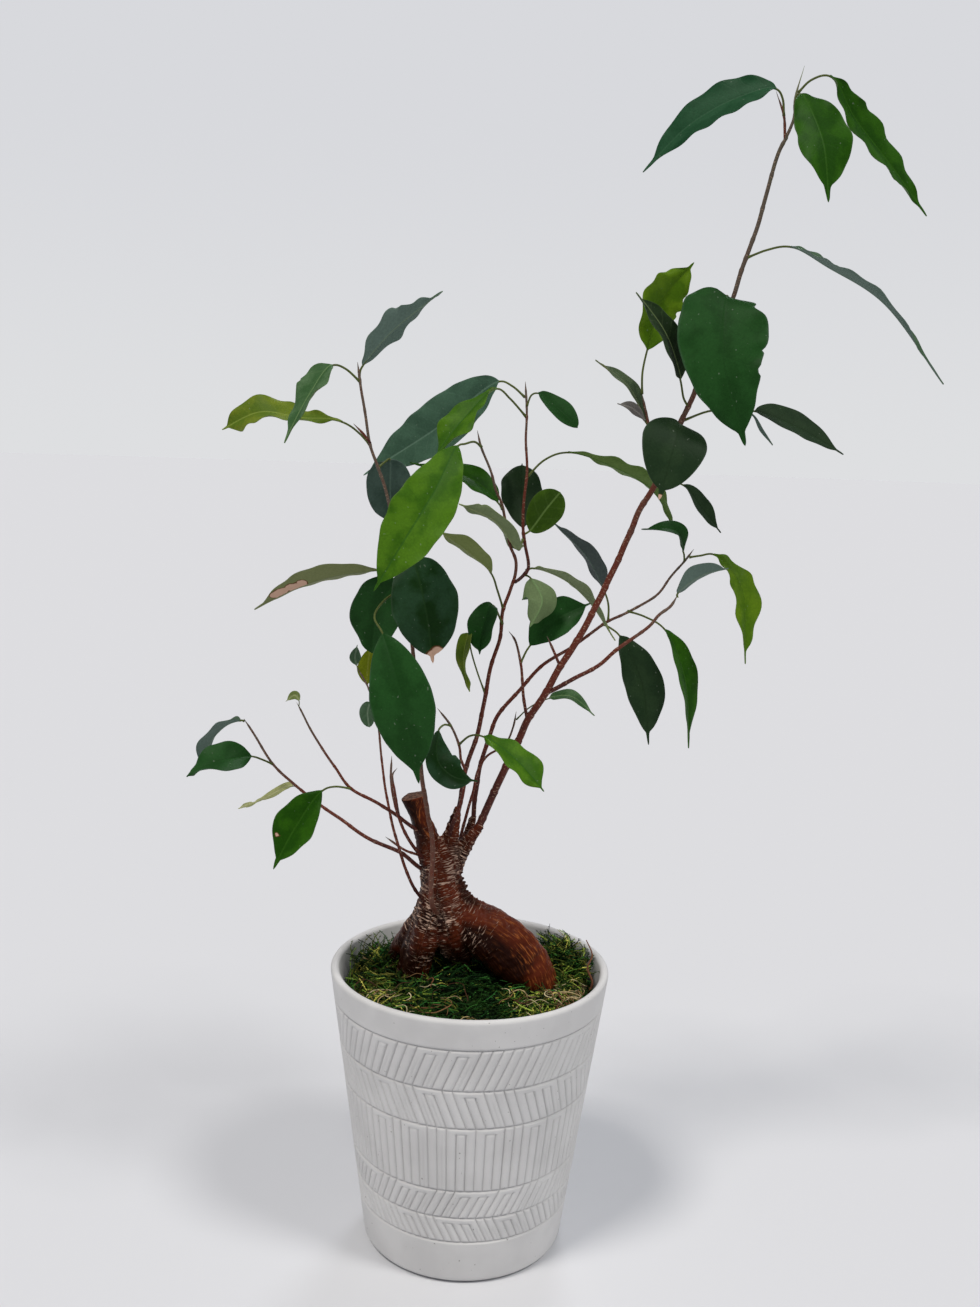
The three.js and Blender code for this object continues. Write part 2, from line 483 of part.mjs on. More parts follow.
// A low mound of moss: its height at a place, from the mound's middle, spread and height.
function mound(x, y, [cx, cy, spread, height]) {
  return height * Math.exp(-((x - cx) ** 2 + (y - cy) ** 2) / (2 * spread * spread));
}

// Moss: a mat on the soil, a little raised round the root, with mounds at its back left and back right.
function mossHeight(x, y) {
  const mounds = MOSS_MOUNDS.reduce((sum, one) => sum + mound(x, y, one), 0);
  const lumps = 0.8 * Math.sin(x * 0.31 + 1) * Math.cos(y * 0.27) + 0.5 * Math.sin(x * 0.17 - y * 0.23);
  return MOSS_TOP + mounds + lumps;
}

function mossSolid() {
  const low = SOIL_TOP + CLEAR;
  const edge = potRadius(low) - WALL - CLEAR - 0.2;
  const columns = MOSS_SIDES;
  const points = [];
  const ring = (radius, height) => {
    for (let j = 0; j < columns; j += 1) {
      const angle = (2 * Math.PI * j) / columns;
      const x = radius * Math.cos(angle);
      const y = radius * Math.sin(angle);
      points.push(x, y, height(x, y));
    }
  };
  ring(edge, () => low);
  ring(edge + 0.5, (x, y) => mossHeight(x, y) - 2.2);
  for (const share of MOSS_RINGS) {
    ring(edge * share, mossHeight);
  }
  points.push(0, 0, low, 0, 0, mossHeight(0, 0));
  return solid(points, ringTriangles(MOSS_RINGS.length + 2, columns));
}

// The largest body of a cut solid; a loose scrap that a cut leaves is dropped.
function mainBody(cut) {
  return cut.decompose().reduce((a, b) => (a.volume() > b.volume() ? a : b));
}

function mesh(name, body, colour, roughness) {
  const { vertProperties, triVerts } = body.getMesh();
  const geometry = new THREE.BufferGeometry();
  geometry.setAttribute('position', new THREE.Float32BufferAttribute(vertProperties, 3));
  geometry.setIndex(Array.from(triVerts));
  geometry.computeVertexNormals();
  const material = new THREE.MeshStandardMaterial({ color: colour, roughness, metalness: 0 });
  const piece = new THREE.Mesh(geometry, material);
  piece.name = name;
  return piece;
}

const plant = new THREE.Group();
plant.name = 'ficus_in_pot';

const rootRoom = trunkSolid(CLEAR);
plant.add(mesh('pot', potSolid(), 0xd9d9d6, 0.6));
plant.add(mesh('soil', mainBody(soilSolid().subtract(rootRoom)), 0x3a2a1e, 0.95));
plant.add(mesh('moss', mainBody(mossSolid().subtract(rootRoom)), 0x3c4f1f, 0.95));

// Each shoot stands in a socket of the trunk, which is its own foot made a little larger.
const sockets = SHOOTS.flatMap(({ stems }) => stems.map((stem) => stemSolid(stem, CLEAR)))
  .reduce((all, one) => all.add(one));
plant.add(mesh('trunk', mainBody(trunkSolid(0).subtract(sockets)), 0x7a3a22, 0.5));

for (const shoot of SHOOTS) {
  plant.add(mesh(shoot.name, shootSolid(shoot), shoot.leaves.length > 0 ? shoot.green : shoot.bark, 0.45));
}

export default plant;
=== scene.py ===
from functools import partial

import bpy
import numpy as np
from bpy.props import FloatProperty, FloatVectorProperty, IntProperty, PointerProperty
from mathutils import Matrix, Vector


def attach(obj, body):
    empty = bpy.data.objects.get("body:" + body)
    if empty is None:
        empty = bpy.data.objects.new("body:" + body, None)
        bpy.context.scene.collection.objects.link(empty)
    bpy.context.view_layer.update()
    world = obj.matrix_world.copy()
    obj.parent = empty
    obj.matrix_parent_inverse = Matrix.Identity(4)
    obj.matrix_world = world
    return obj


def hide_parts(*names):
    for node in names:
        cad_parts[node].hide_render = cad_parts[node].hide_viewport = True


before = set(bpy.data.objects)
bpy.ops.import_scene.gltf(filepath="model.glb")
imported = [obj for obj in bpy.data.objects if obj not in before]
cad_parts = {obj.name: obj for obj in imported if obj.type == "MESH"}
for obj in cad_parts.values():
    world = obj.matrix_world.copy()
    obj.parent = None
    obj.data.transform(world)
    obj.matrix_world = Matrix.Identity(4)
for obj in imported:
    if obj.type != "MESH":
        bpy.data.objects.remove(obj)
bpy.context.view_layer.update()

bl_info = {
    "name": "Potted Ginseng Ficus",
    "version": (1, 0, 0),
    "blender": (4, 5, 0),
    "location": "3D View > Sidebar > Ficus",
    "description": "Surfaces and finishes for a small ficus with a swollen root in a stoneware pot",
    "category": "Add Mesh",
}

MM = 0.001
BODY = "root"

# The pot, as its solid has it: its size, its wall and floor, the rounding of its foot and lip, its lowest
# line, and its bands, each as the height of its upper line and the lean of its strokes.
POT_HEIGHT = 134.7
RIM_RADIUS = 66.0
BASE_RADIUS = 47.5
WALL = 4.0
FLOOR = 6.0
FOOT_ROUND = 3.2
LIP = 1.9
FIRST_LINE = 22.2
BANDS = [(35.0, -0.46), (49.2, 0.46), (81.5, 0.0), (100.3, -0.36), (120.4, 0.4)]

# Where the columns of points stand across one stroke, as shares of it.
STROKE_STEPS = [0.0, 0.06, 0.13, 0.4, 0.5, 0.6, 0.87, 0.94]

# Some pairs of grooves are joined this far below their band's upper line, and some strokes have a shallow
# groove down their middle: how many of each, and how deep, as shares.
HAIRPIN = 3.0
JOINED_SHARE = 0.34
JOINED_DEPTH = 0.35
MIDDLE_SHARE = 0.35
MIDDLE_DEPTH = 0.4

# What fills the pot: the levels of soil and moss, each moss mound as the x and y of its middle, its spread
# and its height, and the fineness of the moss mat.
SOIL_TOP = 117.0
MOSS_TOP = 123.5
MOSS_MOUNDS = [(-12, -4, 22, 9), (32, -10, 16, 6), (-46, 14, 9, 3.6), (46, 22, 10, 6)]
MAT_RINGS = 44
MAT_COLUMNS = 120

# A sprig of moss: the rings of its stalk and the radius of its foot, its leaflets and half the width of one,
# and the least angle, in radians, that it keeps from pointing outwards where it stands near the wall.
SPRIG_RINGS = 5
SPRIG_RADIUS = 0.5
SPRIG_LEAFLETS = 12
LEAFLET_HALF = 0.42
WALL_TURN = 1.4

# Some sprigs stand up on the two back mounds: their share of all, how the two mounds share them, and how
# much longer they are.
RAISED_SHARE = 0.14
RAISED_MOUNDS = MOSS_MOUNDS[2:]
RAISED_ODDS = [0.4, 0.6]
RAISED_LENGTH = 1.5

# The crops of sprigs: their seed, how far they keep to the bleached places, and their greens. In each crop a
# share of the sprigs is brightened as painted highlights, and the others are dim.
CROPS = {
    "moss_sprigs_dark": (21, 0.1, ("#0f250e", "#173816", "#264c1e", "#0b1c0a")),
    "moss_sprigs_light": (22, 0.9, ("#46581e", "#626e2a", "#86823c", "#2e4616")),
}
HIGHLIGHT_SHARE = 0.28
PAINTED_HIGHLIGHT = 3.4
DIM = 0.7

# Dry strands on the moss: their colours, the place that every third one lies about, and the rows of their
# points. A thin dry shoot stands in the moss near the rim.
STRAND_COLOURS = ("#b8a274", "#6a4226", "#d0c096", "#4a2a18", "#8a6640")
STRAND_HEAP = (40, -24)
STRAND_ROWS = 13
DRY_SHOOT = [(56, -6, 122), (58, -7, 129), (55.5, -6, 136), (57.5, -5, 142), (54.5, -4, 149)]

# Leaves: how far a blade is folded up from its midrib in degrees, the long wave and the short curl of its
# margin as shares of its width, the length of one curl, the unevenness of its outline, how wide its midrib
# is, how deep it is sunk above and how far it stands out below, and the rows and columns of its points. A
# stalk has rows and sides, and one colour.
FOLD = 14.0
WAVE = 0.035
CURL = 0.028
CURL_LENGTH = 14.0
UNEVEN = 0.05
RIB_WIDTH = 0.6
RIB_SUNK = 0.16
RIB_PROUD = 0.3
BLADE_ROWS = 56
BLADE_COLUMNS = [1.0, 0.975, 0.88, 0.72, 0.54, 0.36, 0.21, 0.1, 0.04, 0.0]
STALK_ROWS = 18
STALK_SIDES = 8
STALK_COLOUR = "#5c6636"

# Stems: the bark lies a little inside the stem's solid. At each leaf's foot it swells, and just past it a
# ring scar is sunk, both as shares of its radius.
STEM_SIDES = 12
STEM_SHARE = 0.8
NODE_SWELL = 0.13
SCAR_DEPTH = 0.08

# The distance between the worn ridges that run across the root's limbs, the sides of a limb before it is
# melted into the others, and the direction that the root's lit side looks in: the bark is painted darker, as
# shade, where it looks away from it.
RIDGE_SPACING = 2.3
LIMB_SIDES = 40
LIT_SIDE = (0.6, 0, 0.8)

# How far the root's lumps, its cross ridges and the crumbs of its crusts stand out.
LUMP_RISE = 0.35
RIDGE_RISE = 0.42
CRUMB_RISE = 3.2

# The floor of the stage: its sides, the radii of its rings, and how far it lies below the pot.
STAGE_SIDES = 96
STAGE_RINGS = (300, 2000, 30000)
STAGE_DROP = 0.3

# The lamps of the stage: the place that each shines from, and its colour.
LAMPS = {
    "left": ((-0.5, -0.55, 1.3), "#fffaf4"),
    "right": ((0.75, -0.5, 1.2), "#fffdfa"),
    "back": ((0.2, 0.9, 1.1), "#f6f9ff"),
}

# The photograph's height and its focal length in pixels, the width of the sensor that stands for its longer
# side, and the place and turn of the camera that took it.
FRAME_HEIGHT = 1307
FOCAL_PIXELS = 1300.0
SENSOR = 36.0
CAMERA_PLACE = (0.0, -588.8, 375.3)
CAMERA_PITCH = np.radians(8.849)
CAMERA_YAW = np.radians(0.465)
CAMERA_ROLL = np.radians(-1.855)

# Limbs of the swollen root and its neck: points of a centre line with a radius, and how rough the bark is
# at even steps along the limb, from 0, smooth, to 1, full of pale cross ridges.
LIMBS = {
    "neck": ([(-10, -1, 150, 12), (-11, -2, 160, 12.5), (-13, -3, 168, 11), (-15, -4, 176, 9.4),
              (-15.5, -4, 183, 8.8), (-16.5, -4, 189, 8), (-18, -4, 195, 5.4)], (1.0, 1.0)),
    "cut_stub": ([(-18, -5, 187, 8), (-21.5, -5, 197, 5.6), (-25, -5, 206, 4.9), (-27, -5, 212, 5.2),
                  (-28.4, -5, 217, 6.3)], (0.9, 0.35, 0.05, 0.0)),
    "middle_spur": ([(-13, -4, 184, 6.5), (-11.6, -4, 194, 4.6), (-9.6, -4, 203, 2.8), (-7.6, -4, 212, 1.6)],
                    (1.0, 0.6)),
    "right_spur": ([(-12.5, -2, 178, 5.5), (-8, -1.5, 186, 4.6), (-3, -0.8, 194, 3.3), (3, 0, 203, 1.8)],
                   (1.0, 0.6)),
    "back_spur": ([(-12, 1, 178, 5.5), (-7, 3, 187, 4.4), (-3, 6.5, 195, 2.6), (-0.6, 10, 204, 1.2)],
                  (1.0, 0.6)),
    "left_leg": ([(-15, -2, 167, 8), (-21.5, 0, 157, 6.6), (-28, 4, 147, 5.8), (-34, 9, 137, 5.0),
                  (-38, 14, 124, 4.2), (-40, 16, 106, 2.8)], (1.0, 0.45, 0.1)),
    "left_web": ([(-17, -5, 165, 7), (-22, -4, 154, 6.4), (-26, -2, 144, 5.4), (-30, 1, 133, 4.4),
                  (-32, 3, 112, 3)], (1.0, 0.4, 0.05)),
    "front_leg": ([(-16, -6, 168, 8), (-19, -7.5, 158, 7), (-21.5, -8, 149, 6.6), (-24, -7, 140, 6.5),
                   (-26, -4, 130, 6.2), (-27, -2, 119, 5.4), (-27.5, -1, 106, 3)], (1.0, 0.6, 0.15, 0.0)),
    "middle_leg": ([(-12, -6, 165, 8.5), (-10, -6.5, 156, 9), (-8, -4, 148, 8.2), (-6, 2, 140, 6.6),
                    (-5, 9, 130, 5.6), (-5, 13, 108, 4)], (1.0, 0.35, 0.05)),
    "right_bulb": ([(-8, -3, 161, 8.5), (1, -5, 156.5, 11), (9.5, -6, 151.5, 12.4), (17.5, -6.5, 144.5, 13),
                    (24.5, -6.5, 136.5, 12.6), (31, -6, 128, 11), (36.5, -5, 118, 8.4), (41, -4, 106, 4.6)],
                   (1.0, 0.5, 0.0, 0.0, 0.0, 0.1)),
    "back_left_leg": ([(-13, 4, 164, 8), (-15, 12, 152, 8), (-18, 21, 138, 7), (-20, 28, 124, 5.4),
                       (-21, 31, 107, 3)], (0.8, 0.5)),
    "back_right_leg": ([(-4, 4, 159, 8), (4, 13, 148, 8.4), (12, 22, 136, 7.6), (18, 29, 123, 5.4),
                        (21, 33, 107, 3)], (0.7, 0.3)),
}

# Crusts of dead bark at the right of the neck: their middle and how far they spread.
CRUSTS = [((-2, -6, 176), 6.0), ((1, -8, 171), 6.5)]

# Painted shadows on the bulb, dark patches where shade falls: their middle and how far they spread.
PAINTED_SHADOWS = [((12, -18, 150), 6.5), ((21, -19, 140), 5.5)]

# Leaf looks: the upper face's colour towards the margin and about the midrib, the midrib's colour, and the
# underside's.
LOOKS = {
    "dark": ("#21491e", "#1a3f17", "#1d421a", "#4f6452"),
    "pine": ("#1e462a", "#295034", "#375b40", "#2c4f37"),
    "black": ("#22341b", "#1a2a14", "#69794f", "#4d5a49"),
    "coal": ("#1f321d", "#263922", "#20321c", "#4d5a49"),
    "deep": ("#3c5814", "#304a10", "#657f42", "#5a6a3c"),
    "shade": ("#26422a", "#14300f", "#223d1c", "#4a5d48"),
    "slate": ("#465a50", "#384c42", "#586d60", "#4a5452"),
    "leaf": ("#2a5608", "#1d4604", "#2f5812", "#587048"),
    "bright": ("#4a7216", "#355d0e", "#2f581a", "#5e773c"),
    "fresh": ("#68781f", "#536a1c", "#7f903f", "#6b7c40"),
    "lime": ("#5c7c14", "#486a0e", "#4a6a16", "#788c3c"),
    "gold": ("#7f8a16", "#6c7812", "#8a9038", "#7c8440"),
    "olive": ("#6a7540", "#5a6834", "#868f5c", "#76824c"),
    "pale": ("#78844e", "#687640", "#969e6e", "#7a8862"),
    "sage": ("#4e664e", "#3f573f", "#6c7e68", "#5d7066"),
    "matt": ("#45634f", "#3b5745", "#5f7a67", "#5b6c5e"),
    "grey": ("#52704a", "#3a5c34", "#6c8858", "#62744e"),
    "worn": ("#4a5a3e", "#3c4c34", "#6c7654", "#747b50"),
    "straw": ("#b6ba84", "#a4a872", "#c0c294", "#b4b888"),
    "dry": ("#84807a", "#6e6a66", "#96928c", "#86827e"),
}


def stem(foot_radius, end_radius, path, age=(1.0, 0.4), bud=4.0):
    """A stem: its radius at the foot and at the end, its centre line, how old its bark is there, and the
    length of the pointed bud that it ends in."""
    return {"radii": (foot_radius, end_radius), "path": path, "age": age, "bud": bud}


def leaf(look, width, turn, stalk, rib, wide=0.5, blunt=0.8, drip=0.08, twist=0.0, fold=FOLD, ruffle=1.0,
         dead=(), nicks=()):
    """A leaf: its look, its greatest width and its turn about the midrib in degrees, then the lines of its
    stalk and midrib, where along it the blade is widest, how full its outline is, fuller at low numbers, the
    share of the length that is drip tip, how far the blade twists from foot to tip, how far it is folded,
    and how strongly its margin waves. dead lists patches of dry tissue as (along, across, size in mm), and
    nicks lists dents in the margin as (along, side, size in mm)."""
    return {"look": look, "width": width, "turn": turn, "stalk": stalk, "rib": rib, "wide": wide,
            "blunt": blunt, "drip": drip, "twist": twist, "fold": fold, "ruffle": ruffle, "dead": dead,
            "nicks": nicks}


# The leafy shoots, by the name of their solid.
SHOOTS = {
    "shoot_low_left": {
        "stems": [
            stem(1.3, 0.6, [(-17, -6, 178), (-25, -6, 183), (-34, -4, 189), (-49, 0, 194),
                            (-63, 4, 202), (-75, 7, 209), (-87, 9, 218), (-96, 10, 226),
                            (-104, 12, 238), (-110, 12, 247)]),
        ],
        "leaves": [
            leaf("sage", 18, 103, [(-110, 12, 246)],
                 [(-112, 13, 246), (-119, 16, 243), (-128, 20, 233), (-134, 24, 218)]),
            leaf("dark", 20, 44, [(-96, 10, 226), (-101, 7, 229)],
                 [(-105, 4, 231), (-115, -3, 231), (-125, -8, 228), (-132, -10, 224)], twist=34, ruffle=1.3),
            leaf("straw", 5, 60, [(-80, 8, 212)],
                 [(-87, 13, 215), (-101, 18, 207), (-114, 20, 201)], wide=0.25, drip=0, ruffle=3.0,
                 nicks=((0.55, 1, 1.2), (0.7, -1, 1.4), (0.9, 1, 1.0))),
        ],
    },
    "shoot_upper_left": {
        "stems": [
            stem(1.2, 0.5, [(-20, -5, 195), (-27, -9, 202), (-34, -12, 208), (-43, -15, 215),
                            (-56, -19, 223), (-63, -21, 233), (-70, -23, 244), (-75, -24, 253),
                            (-80, -25, 263)]),
        ],
        "leaves": [
            leaf("leaf", 20, 28, [(-56, -19, 223), (-63, -24, 225)],
                 [(-68, -28, 224), (-79, -33, 208), (-88, -36, 190)], wide=0.55, blunt=0.75, drip=0.12,
                 dead=((0.66, -0.55, 0.8),)),
            leaf("pale", 4, 20, [(-79, -25, 261)],
                 [(-79, -25, 264), (-81, -24, 266), (-85, -23, 263)]),
        ],
    },
    "shoot_thin_left": {
        "stems": [
            stem(1, 0.5, [(-19, -8, 163), (-26, -13, 174), (-31, -15, 185), (-34, -12, 193),
                          (-38, -4, 202), (-41, 0, 213), (-43, 2, 224), (-45, 4, 238), (-47, 6, 252),
                          (-51, 7, 264), (-57, 8, 274)]),
        ],
        "leaves": [
            leaf("sage", 6, 30, [(-56, 8, 273)],
                 [(-57, 8, 275), (-58, 9, 279), (-57, 10, 284)]),
            leaf("gold", 10, 10, [(-51, 7, 264)],
                 [(-52, 9, 266), (-52, 11, 274), (-51, 12, 284)]),
            leaf("sage", 8, 10, [(-49, 6, 257)],
                 [(-50, 4, 258), (-51, 3, 254), (-50, 2, 247)], drip=0, blunt=0.55, nicks=((0.35, 1, 1.5),)),
        ],
    },
    "twigs_left": {
        "stems": [
            stem(1.1, 0.6, [(-20, -8, 185), (-26, -13, 193), (-32, -17, 204), (-36, -19, 216),
                            (-38, -20, 228), (-38, -20, 239)]),
            stem(0.8, 0.6, [(-24, -11, 190), (-31, -19, 195), (-40, -22, 202)]),
            stem(0.7, 0.6, [(-34, -18, 210), (-36, -24, 224), (-37, -26, 232), (-35, -26, 235)]),
        ],
        "leaves": [],
    },
    "shoot_front": {
        "stems": [
            stem(1.5, 0.7, [(-14, -9, 160), (-18, -17.5, 169), (-19, -18, 179), (-18.5, -17.4, 193),
                            (-19, -18, 202), (-21, -20, 212), (-23, -22, 224), (-25, -23, 238),
                            (-27, -24, 266), (-30, -23, 292), (-36, -20, 327), (-40, -20, 346),
                            (-43, -20, 357), (-47, -20, 368), (-50, -20, 376), (-52, -20, 387),
                            (-54, -20, 398), (-56, -20, 411)], (0.58, 0.42)),
            stem(0.7, 0.6, [(-50, -20, 377), (-53, -22, 381), (-57, -24, 385)]),
        ],
        "leaves": [
            leaf("sage", 16, -122, [(-55, -20, 403), (-55, -19, 407)],
                 [(-54, -18, 410), (-43, -15, 424), (-32, -12, 434), (-21, -8, 443)], wide=0.45, drip=0.12,
                 ruffle=2.0, nicks=((0.52, -1, 1.4),)),
            leaf("grey", 18, 52, [(-55, -20, 403), (-61, -24, 408)],
                 [(-66, -28, 409), (-74, -34, 397), (-84, -40, 376)], drip=0.12, ruffle=1.6,
                 nicks=((0.5, 1, 1.2), (0.4, -1, 1.0))),
            leaf("fresh", 20, 78, [(-50, -20, 376), (-55, -17, 381)],
                 [(-63, -14, 386), (-82, -6, 387), (-101, 0, 389), (-119, 6, 381)], wide=0.66, drip=0.05,
                 twist=-44, ruffle=1.6),
            leaf("slate", 22, 12, [(-46, -20, 367), (-44, -16, 369)],
                 [(-42, -11, 370), (-42, -6, 357), (-41, -2, 343)], blunt=0.5, drip=0, fold=5, ruffle=0.5),
            leaf("worn", 20, 116, [(-35, -20, 321), (-41, -18, 323)],
                 [(-46, -16, 322), (-66, -9, 318), (-85, -2, 311), (-104, 5, 300)], ruffle=0.5,
                 dead=((0.58, 0.2, 3.0), (0.66, 0.2, 3.4), (0.74, 0.2, 3.0), (0.8, 0.25, 2.2))),
            leaf("shade", 29, -5, [(-35, -20, 324), (-32, -23, 327)],
                 [(-30, -26, 327), (-24, -32, 308), (-20, -34, 284)], blunt=0.56, drip=0.07, fold=8,
                 ruffle=0.5, dead=((0.97, 0.0, 4.4), (0.94, 0.15, 3.6))),
            leaf("dark", 25, 20, [(-33, -21, 310), (-36, -17, 313)],
                 [(-38, -15, 316), (-46, -10, 303), (-49, -5, 283)], blunt=0.6, drip=0),
            leaf("dark", 27, -6, [(-34, -21, 315), (-42, -32, 310), (-45, -42, 304)],
                 [(-41, -47, 298), (-33, -56, 276), (-28, -56, 255), (-24, -52, 235)], wide=0.48, blunt=0.86,
                 drip=0.1, fold=10, ruffle=0.4),
        ],
    },
    "shoot_middle": {
        "stems": [
            stem(1.5, 0.6, [(-9.8, -4, 201), (-7, -4, 213), (-5, -4, 229), (0, -5, 246), (3, -5, 263),
                            (5, -5, 277), (9, -4, 291), (10, -3, 304), (13, -2, 313), (15, -2, 320),
                            (15, -3, 327), (12, -5, 334), (8, -8, 352), (5, -9, 358), (3, -10, 365),
                            (-2, -12, 377), (-4, -13, 384)]),
            stem(1, 0.6, [(15, -2, 317), (18, 1, 319), (21, 3, 323), (19, 4, 334), (18, 4, 340),
                          (18, 6, 354), (19, 9, 367), (18, 11, 381), (18, 13, 394), (17, 14, 407)]),
        ],
        "leaves": [
            leaf("bright", 26, 8, [(-2, -12, 377), (-5, -17, 379), (-9, -23, 378)],
                 [(-12, -28, 377), (-21, -40, 358), (-33, -47, 337), (-45, -48, 316)], wide=0.52, drip=0.06,
                 fold=9, ruffle=0.7),
            leaf("olive", 16, 120, [(10, -3, 305), (7, -8, 314)],
                 [(4, -12, 322), (-7, -18, 332), (-20, -24, 341)]),
            leaf("fresh", 11, 58, [(3, -5, 266), (-1, -9, 277), (-4, -11, 287)],
                 [(-5, -12, 294), (-7, -16, 283), (-4, -18, 269)], wide=0.4, drip=0.16, ruffle=1.8),
            leaf("dark", 15, 36, [(10, -4, 298)],
                 [(5, -8, 307), (1, -15, 297), (0, -18, 286)], blunt=0.65, ruffle=1.4),
            leaf("grey", 17, 150, [(20, 2, 320)],
                 [(22, -4, 319), (27, -12, 310), (22, -18, 299)], blunt=0.65, ruffle=1.4),
            leaf("pale", 16, -104, [(20, 3, 322)],
                 [(24, 6, 323), (38, 9, 318), (50, 11, 308), (63, 11, 290)], wide=0.45),
            leaf("pale", 15, 118, [(18, 3, 336)],
                 [(16, -4, 332), (5, -12, 345), (-11, -16, 352)], wide=0.4, ruffle=1.6,
                 nicks=((0.75, 1, 1.2),)),
            leaf("leaf", 15, 52, [(8, -8, 350)],
                 [(6, -5, 353), (-7, 0, 363), (-34, 4, 369)]),
            leaf("coal", 20, 8, [(18, 4, 339)],
                 [(18, 8, 341), (17, 16, 355), (17, 22, 370)], wide=0.62, blunt=0.6, drip=0.03, fold=6),
            leaf("deep", 16, -10, [(18, 4, 338)],
                 [(21, 4, 340), (28, 2, 350), (34, 0, 358)], wide=0.55, blunt=0.48, drip=0, fold=5,
                 ruffle=0.3),
            leaf("matt", 26, 22, [(17, 14, 400), (11, 17, 405)],
                 [(5, 20, 407), (-22, 30, 386), (-58, 38, 362)], drip=0.05, fold=10, ruffle=0.7),
            leaf("bright", 17, 50, [(18, 13, 391), (10, 7, 399)],
                 [(4, 2, 403), (-10, -6, 389), (-23, -12, 371)], wide=0.6, ruffle=2.2,
                 nicks=((0.4, 1, 1.2),)),
            leaf("dark", 12, -38, [(18, 13, 396), (20, 13, 401)],
                 [(23, 12, 402), (31, 9, 396), (41, 7, 387)], wide=0.6, blunt=0.6, drip=0, ruffle=0.4),
            leaf("bright", 16, -108, [(19, 9, 364), (27, 14, 372)],
                 [(38, 20, 376), (60, 26, 370), (80, 30, 359), (92, 33, 339)], wide=0.6, ruffle=1.6),
        ],
    },
    "shoot_right_low": {
        "stems": [
            stem(1.5, 0.6, [(-4, 4, 188), (-1, 8, 198), (0, 12, 212), (2, 14, 227), (5, 15, 238),
                            (9, 17, 250), (20, 20, 264), (29, 23, 274), (36, 25, 279), (46, 27, 285),
                            (60, 28, 296), (69, 27, 301), (83, 26, 310), (89, 24, 319), (95, 22, 327),
                            (99, 21, 333)]),
        ],
        "leaves": [
            leaf("dark", 13, 62, [(95, 22, 327)],
                 [(94, 20, 332), (90, 17, 341), (73, 12, 342)]),
            leaf("lime", 17, -44, [(97, 21, 329), (102, 20, 330)],
                 [(108, 18, 331), (120, 12, 317), (123, 4, 282)], wide=0.6, blunt=0.7, ruffle=1.8),
            leaf("coal", 20, -20, [(59, 28, 295), (62, 22, 294)],
                 [(66, 19, 291), (77, 14, 269), (81, 10, 241)], wide=0.55, blunt=0.68, drip=0.1),
            leaf("leaf", 18, -55, [(70, 27, 302), (78, 22, 300)],
                 [(87, 17, 295), (97, 14, 272), (100, 10, 240)], drip=0.1, ruffle=0.5),
            leaf("slate", 16, 118, [(61, 28, 297), (61, 30, 304)],
                 [(59, 32, 311), (50, 36, 327), (34, 38, 342)]),
        ],
    },
    "shoot_tall": {
        "stems": [
            stem(2.3, 1, [(-6, -1.5, 187), (-1, -0.5, 196), (3, 0, 204), (7, 0, 214), (13, -1, 229),
                          (20, -3, 246), (23, -4, 254), (30, -6, 266), (37, -7, 280), (46, -8, 296),
                          (56, -8, 318), (65, -8, 340), (69, -8, 351), (76, -8, 364), (85, -6, 389),
                          (89, -5, 398), (106, -3, 445), (110, -3, 460), (115, -3, 476), (119, -4, 495),
                          (122, -5, 507), (125, -5, 513)], (0.95, 0.3), bud=1),
            stem(0.9, 0.5, [(124, -5, 511), (127, -6, 520), (127, -6, 527), (130, -6, 541)],
                 (0.4, 0.0), bud=13),
            stem(0.8, 0.5, [(124, -5, 511), (123, -4, 521), (119, -4, 531)], (0.7, 0.4), bud=7),
            stem(1.3, 0.8, [(31, -6, 267), (44, -8, 275), (55, -9, 282), (62, -10, 289), (76, -10, 300),
                            (80, -10, 305), (85, -9, 309), (88, -8, 314)]),
            stem(1, 0.6, [(23, -4, 253), (21, -3, 263), (20, -2, 271), (19, -1, 280), (16, 1, 290),
                          (13, 2, 294)]),
            stem(0.9, 0.6, [(37, -7, 279), (33, -9, 288), (30, -10, 294)]),
            stem(1, 0.7, [(78, -8, 369), (75, 2, 379), (73, 8, 390), (70, 12, 403)]),
        ],
        "leaves": [
            leaf("sage", 15, -125, [(88, -8, 313)],
                 [(88, -8, 315), (99, -3, 323), (112, 2, 326)], wide=0.45),
            leaf("dark", 19, -30, [(19, -1, 280)],
                 [(23, 0, 288), (36, 1, 301), (50, 2, 308)]),
            leaf("pine", 23, 42, [(123, -4, 521), (122, -4, 528)],
                 [(119, -4, 532), (104, 1, 529), (85, 8, 519), (66, 15, 500)], blunt=0.9, ruffle=0.8),
            leaf("leaf", 24, -15, [(127, -6, 524), (127, -9, 528)],
                 [(128, -12, 528), (136, -22, 507), (139, -27, 482)], wide=0.56, blunt=0.7, drip=0.13,
                 fold=9),
            leaf("leaf", 20, -38, [(128, -6, 530), (133, -7, 535)],
                 [(141, -7, 537), (154, -1, 522), (174, 7, 504), (193, 13, 485)], wide=0.55, blunt=0.95,
                 ruffle=1.4, nicks=((0.45, -1, 0.9), (0.72, -1, 0.9))),
            leaf("sage", 18, -76, [(111, -3, 462), (119, -7, 465)],
                 [(128, -12, 466), (143, -19, 457), (164, -30, 442), (190, -36, 409)], wide=0.55, drip=0.14),
            leaf("dark", 39, 6, [(105, -3, 443)],
                 [(102, -9, 445), (100, -22, 417), (111, -25, 381)], wide=0.34, blunt=0.66, fold=6,
                 ruffle=0.7, nicks=((0.15, 1, 4.2), (0.46, 1, 1.4), (0.62, 1, 1.6))),
            leaf("coal", 18, -50, [(86, -6, 391), (99, 0, 396), (111, 5, 397)],
                 [(121, 8, 397), (143, 14, 390), (165, 18, 379)], wide=0.45, ruffle=0.4),
            leaf("sage", 5, 110, [(111, 5, 397)],
                 [(119, 4, 395), (124, 2, 388), (128, 0, 382)]),
            leaf("lime", 21, 18, [(70, 12, 403), (70, 14, 413)],
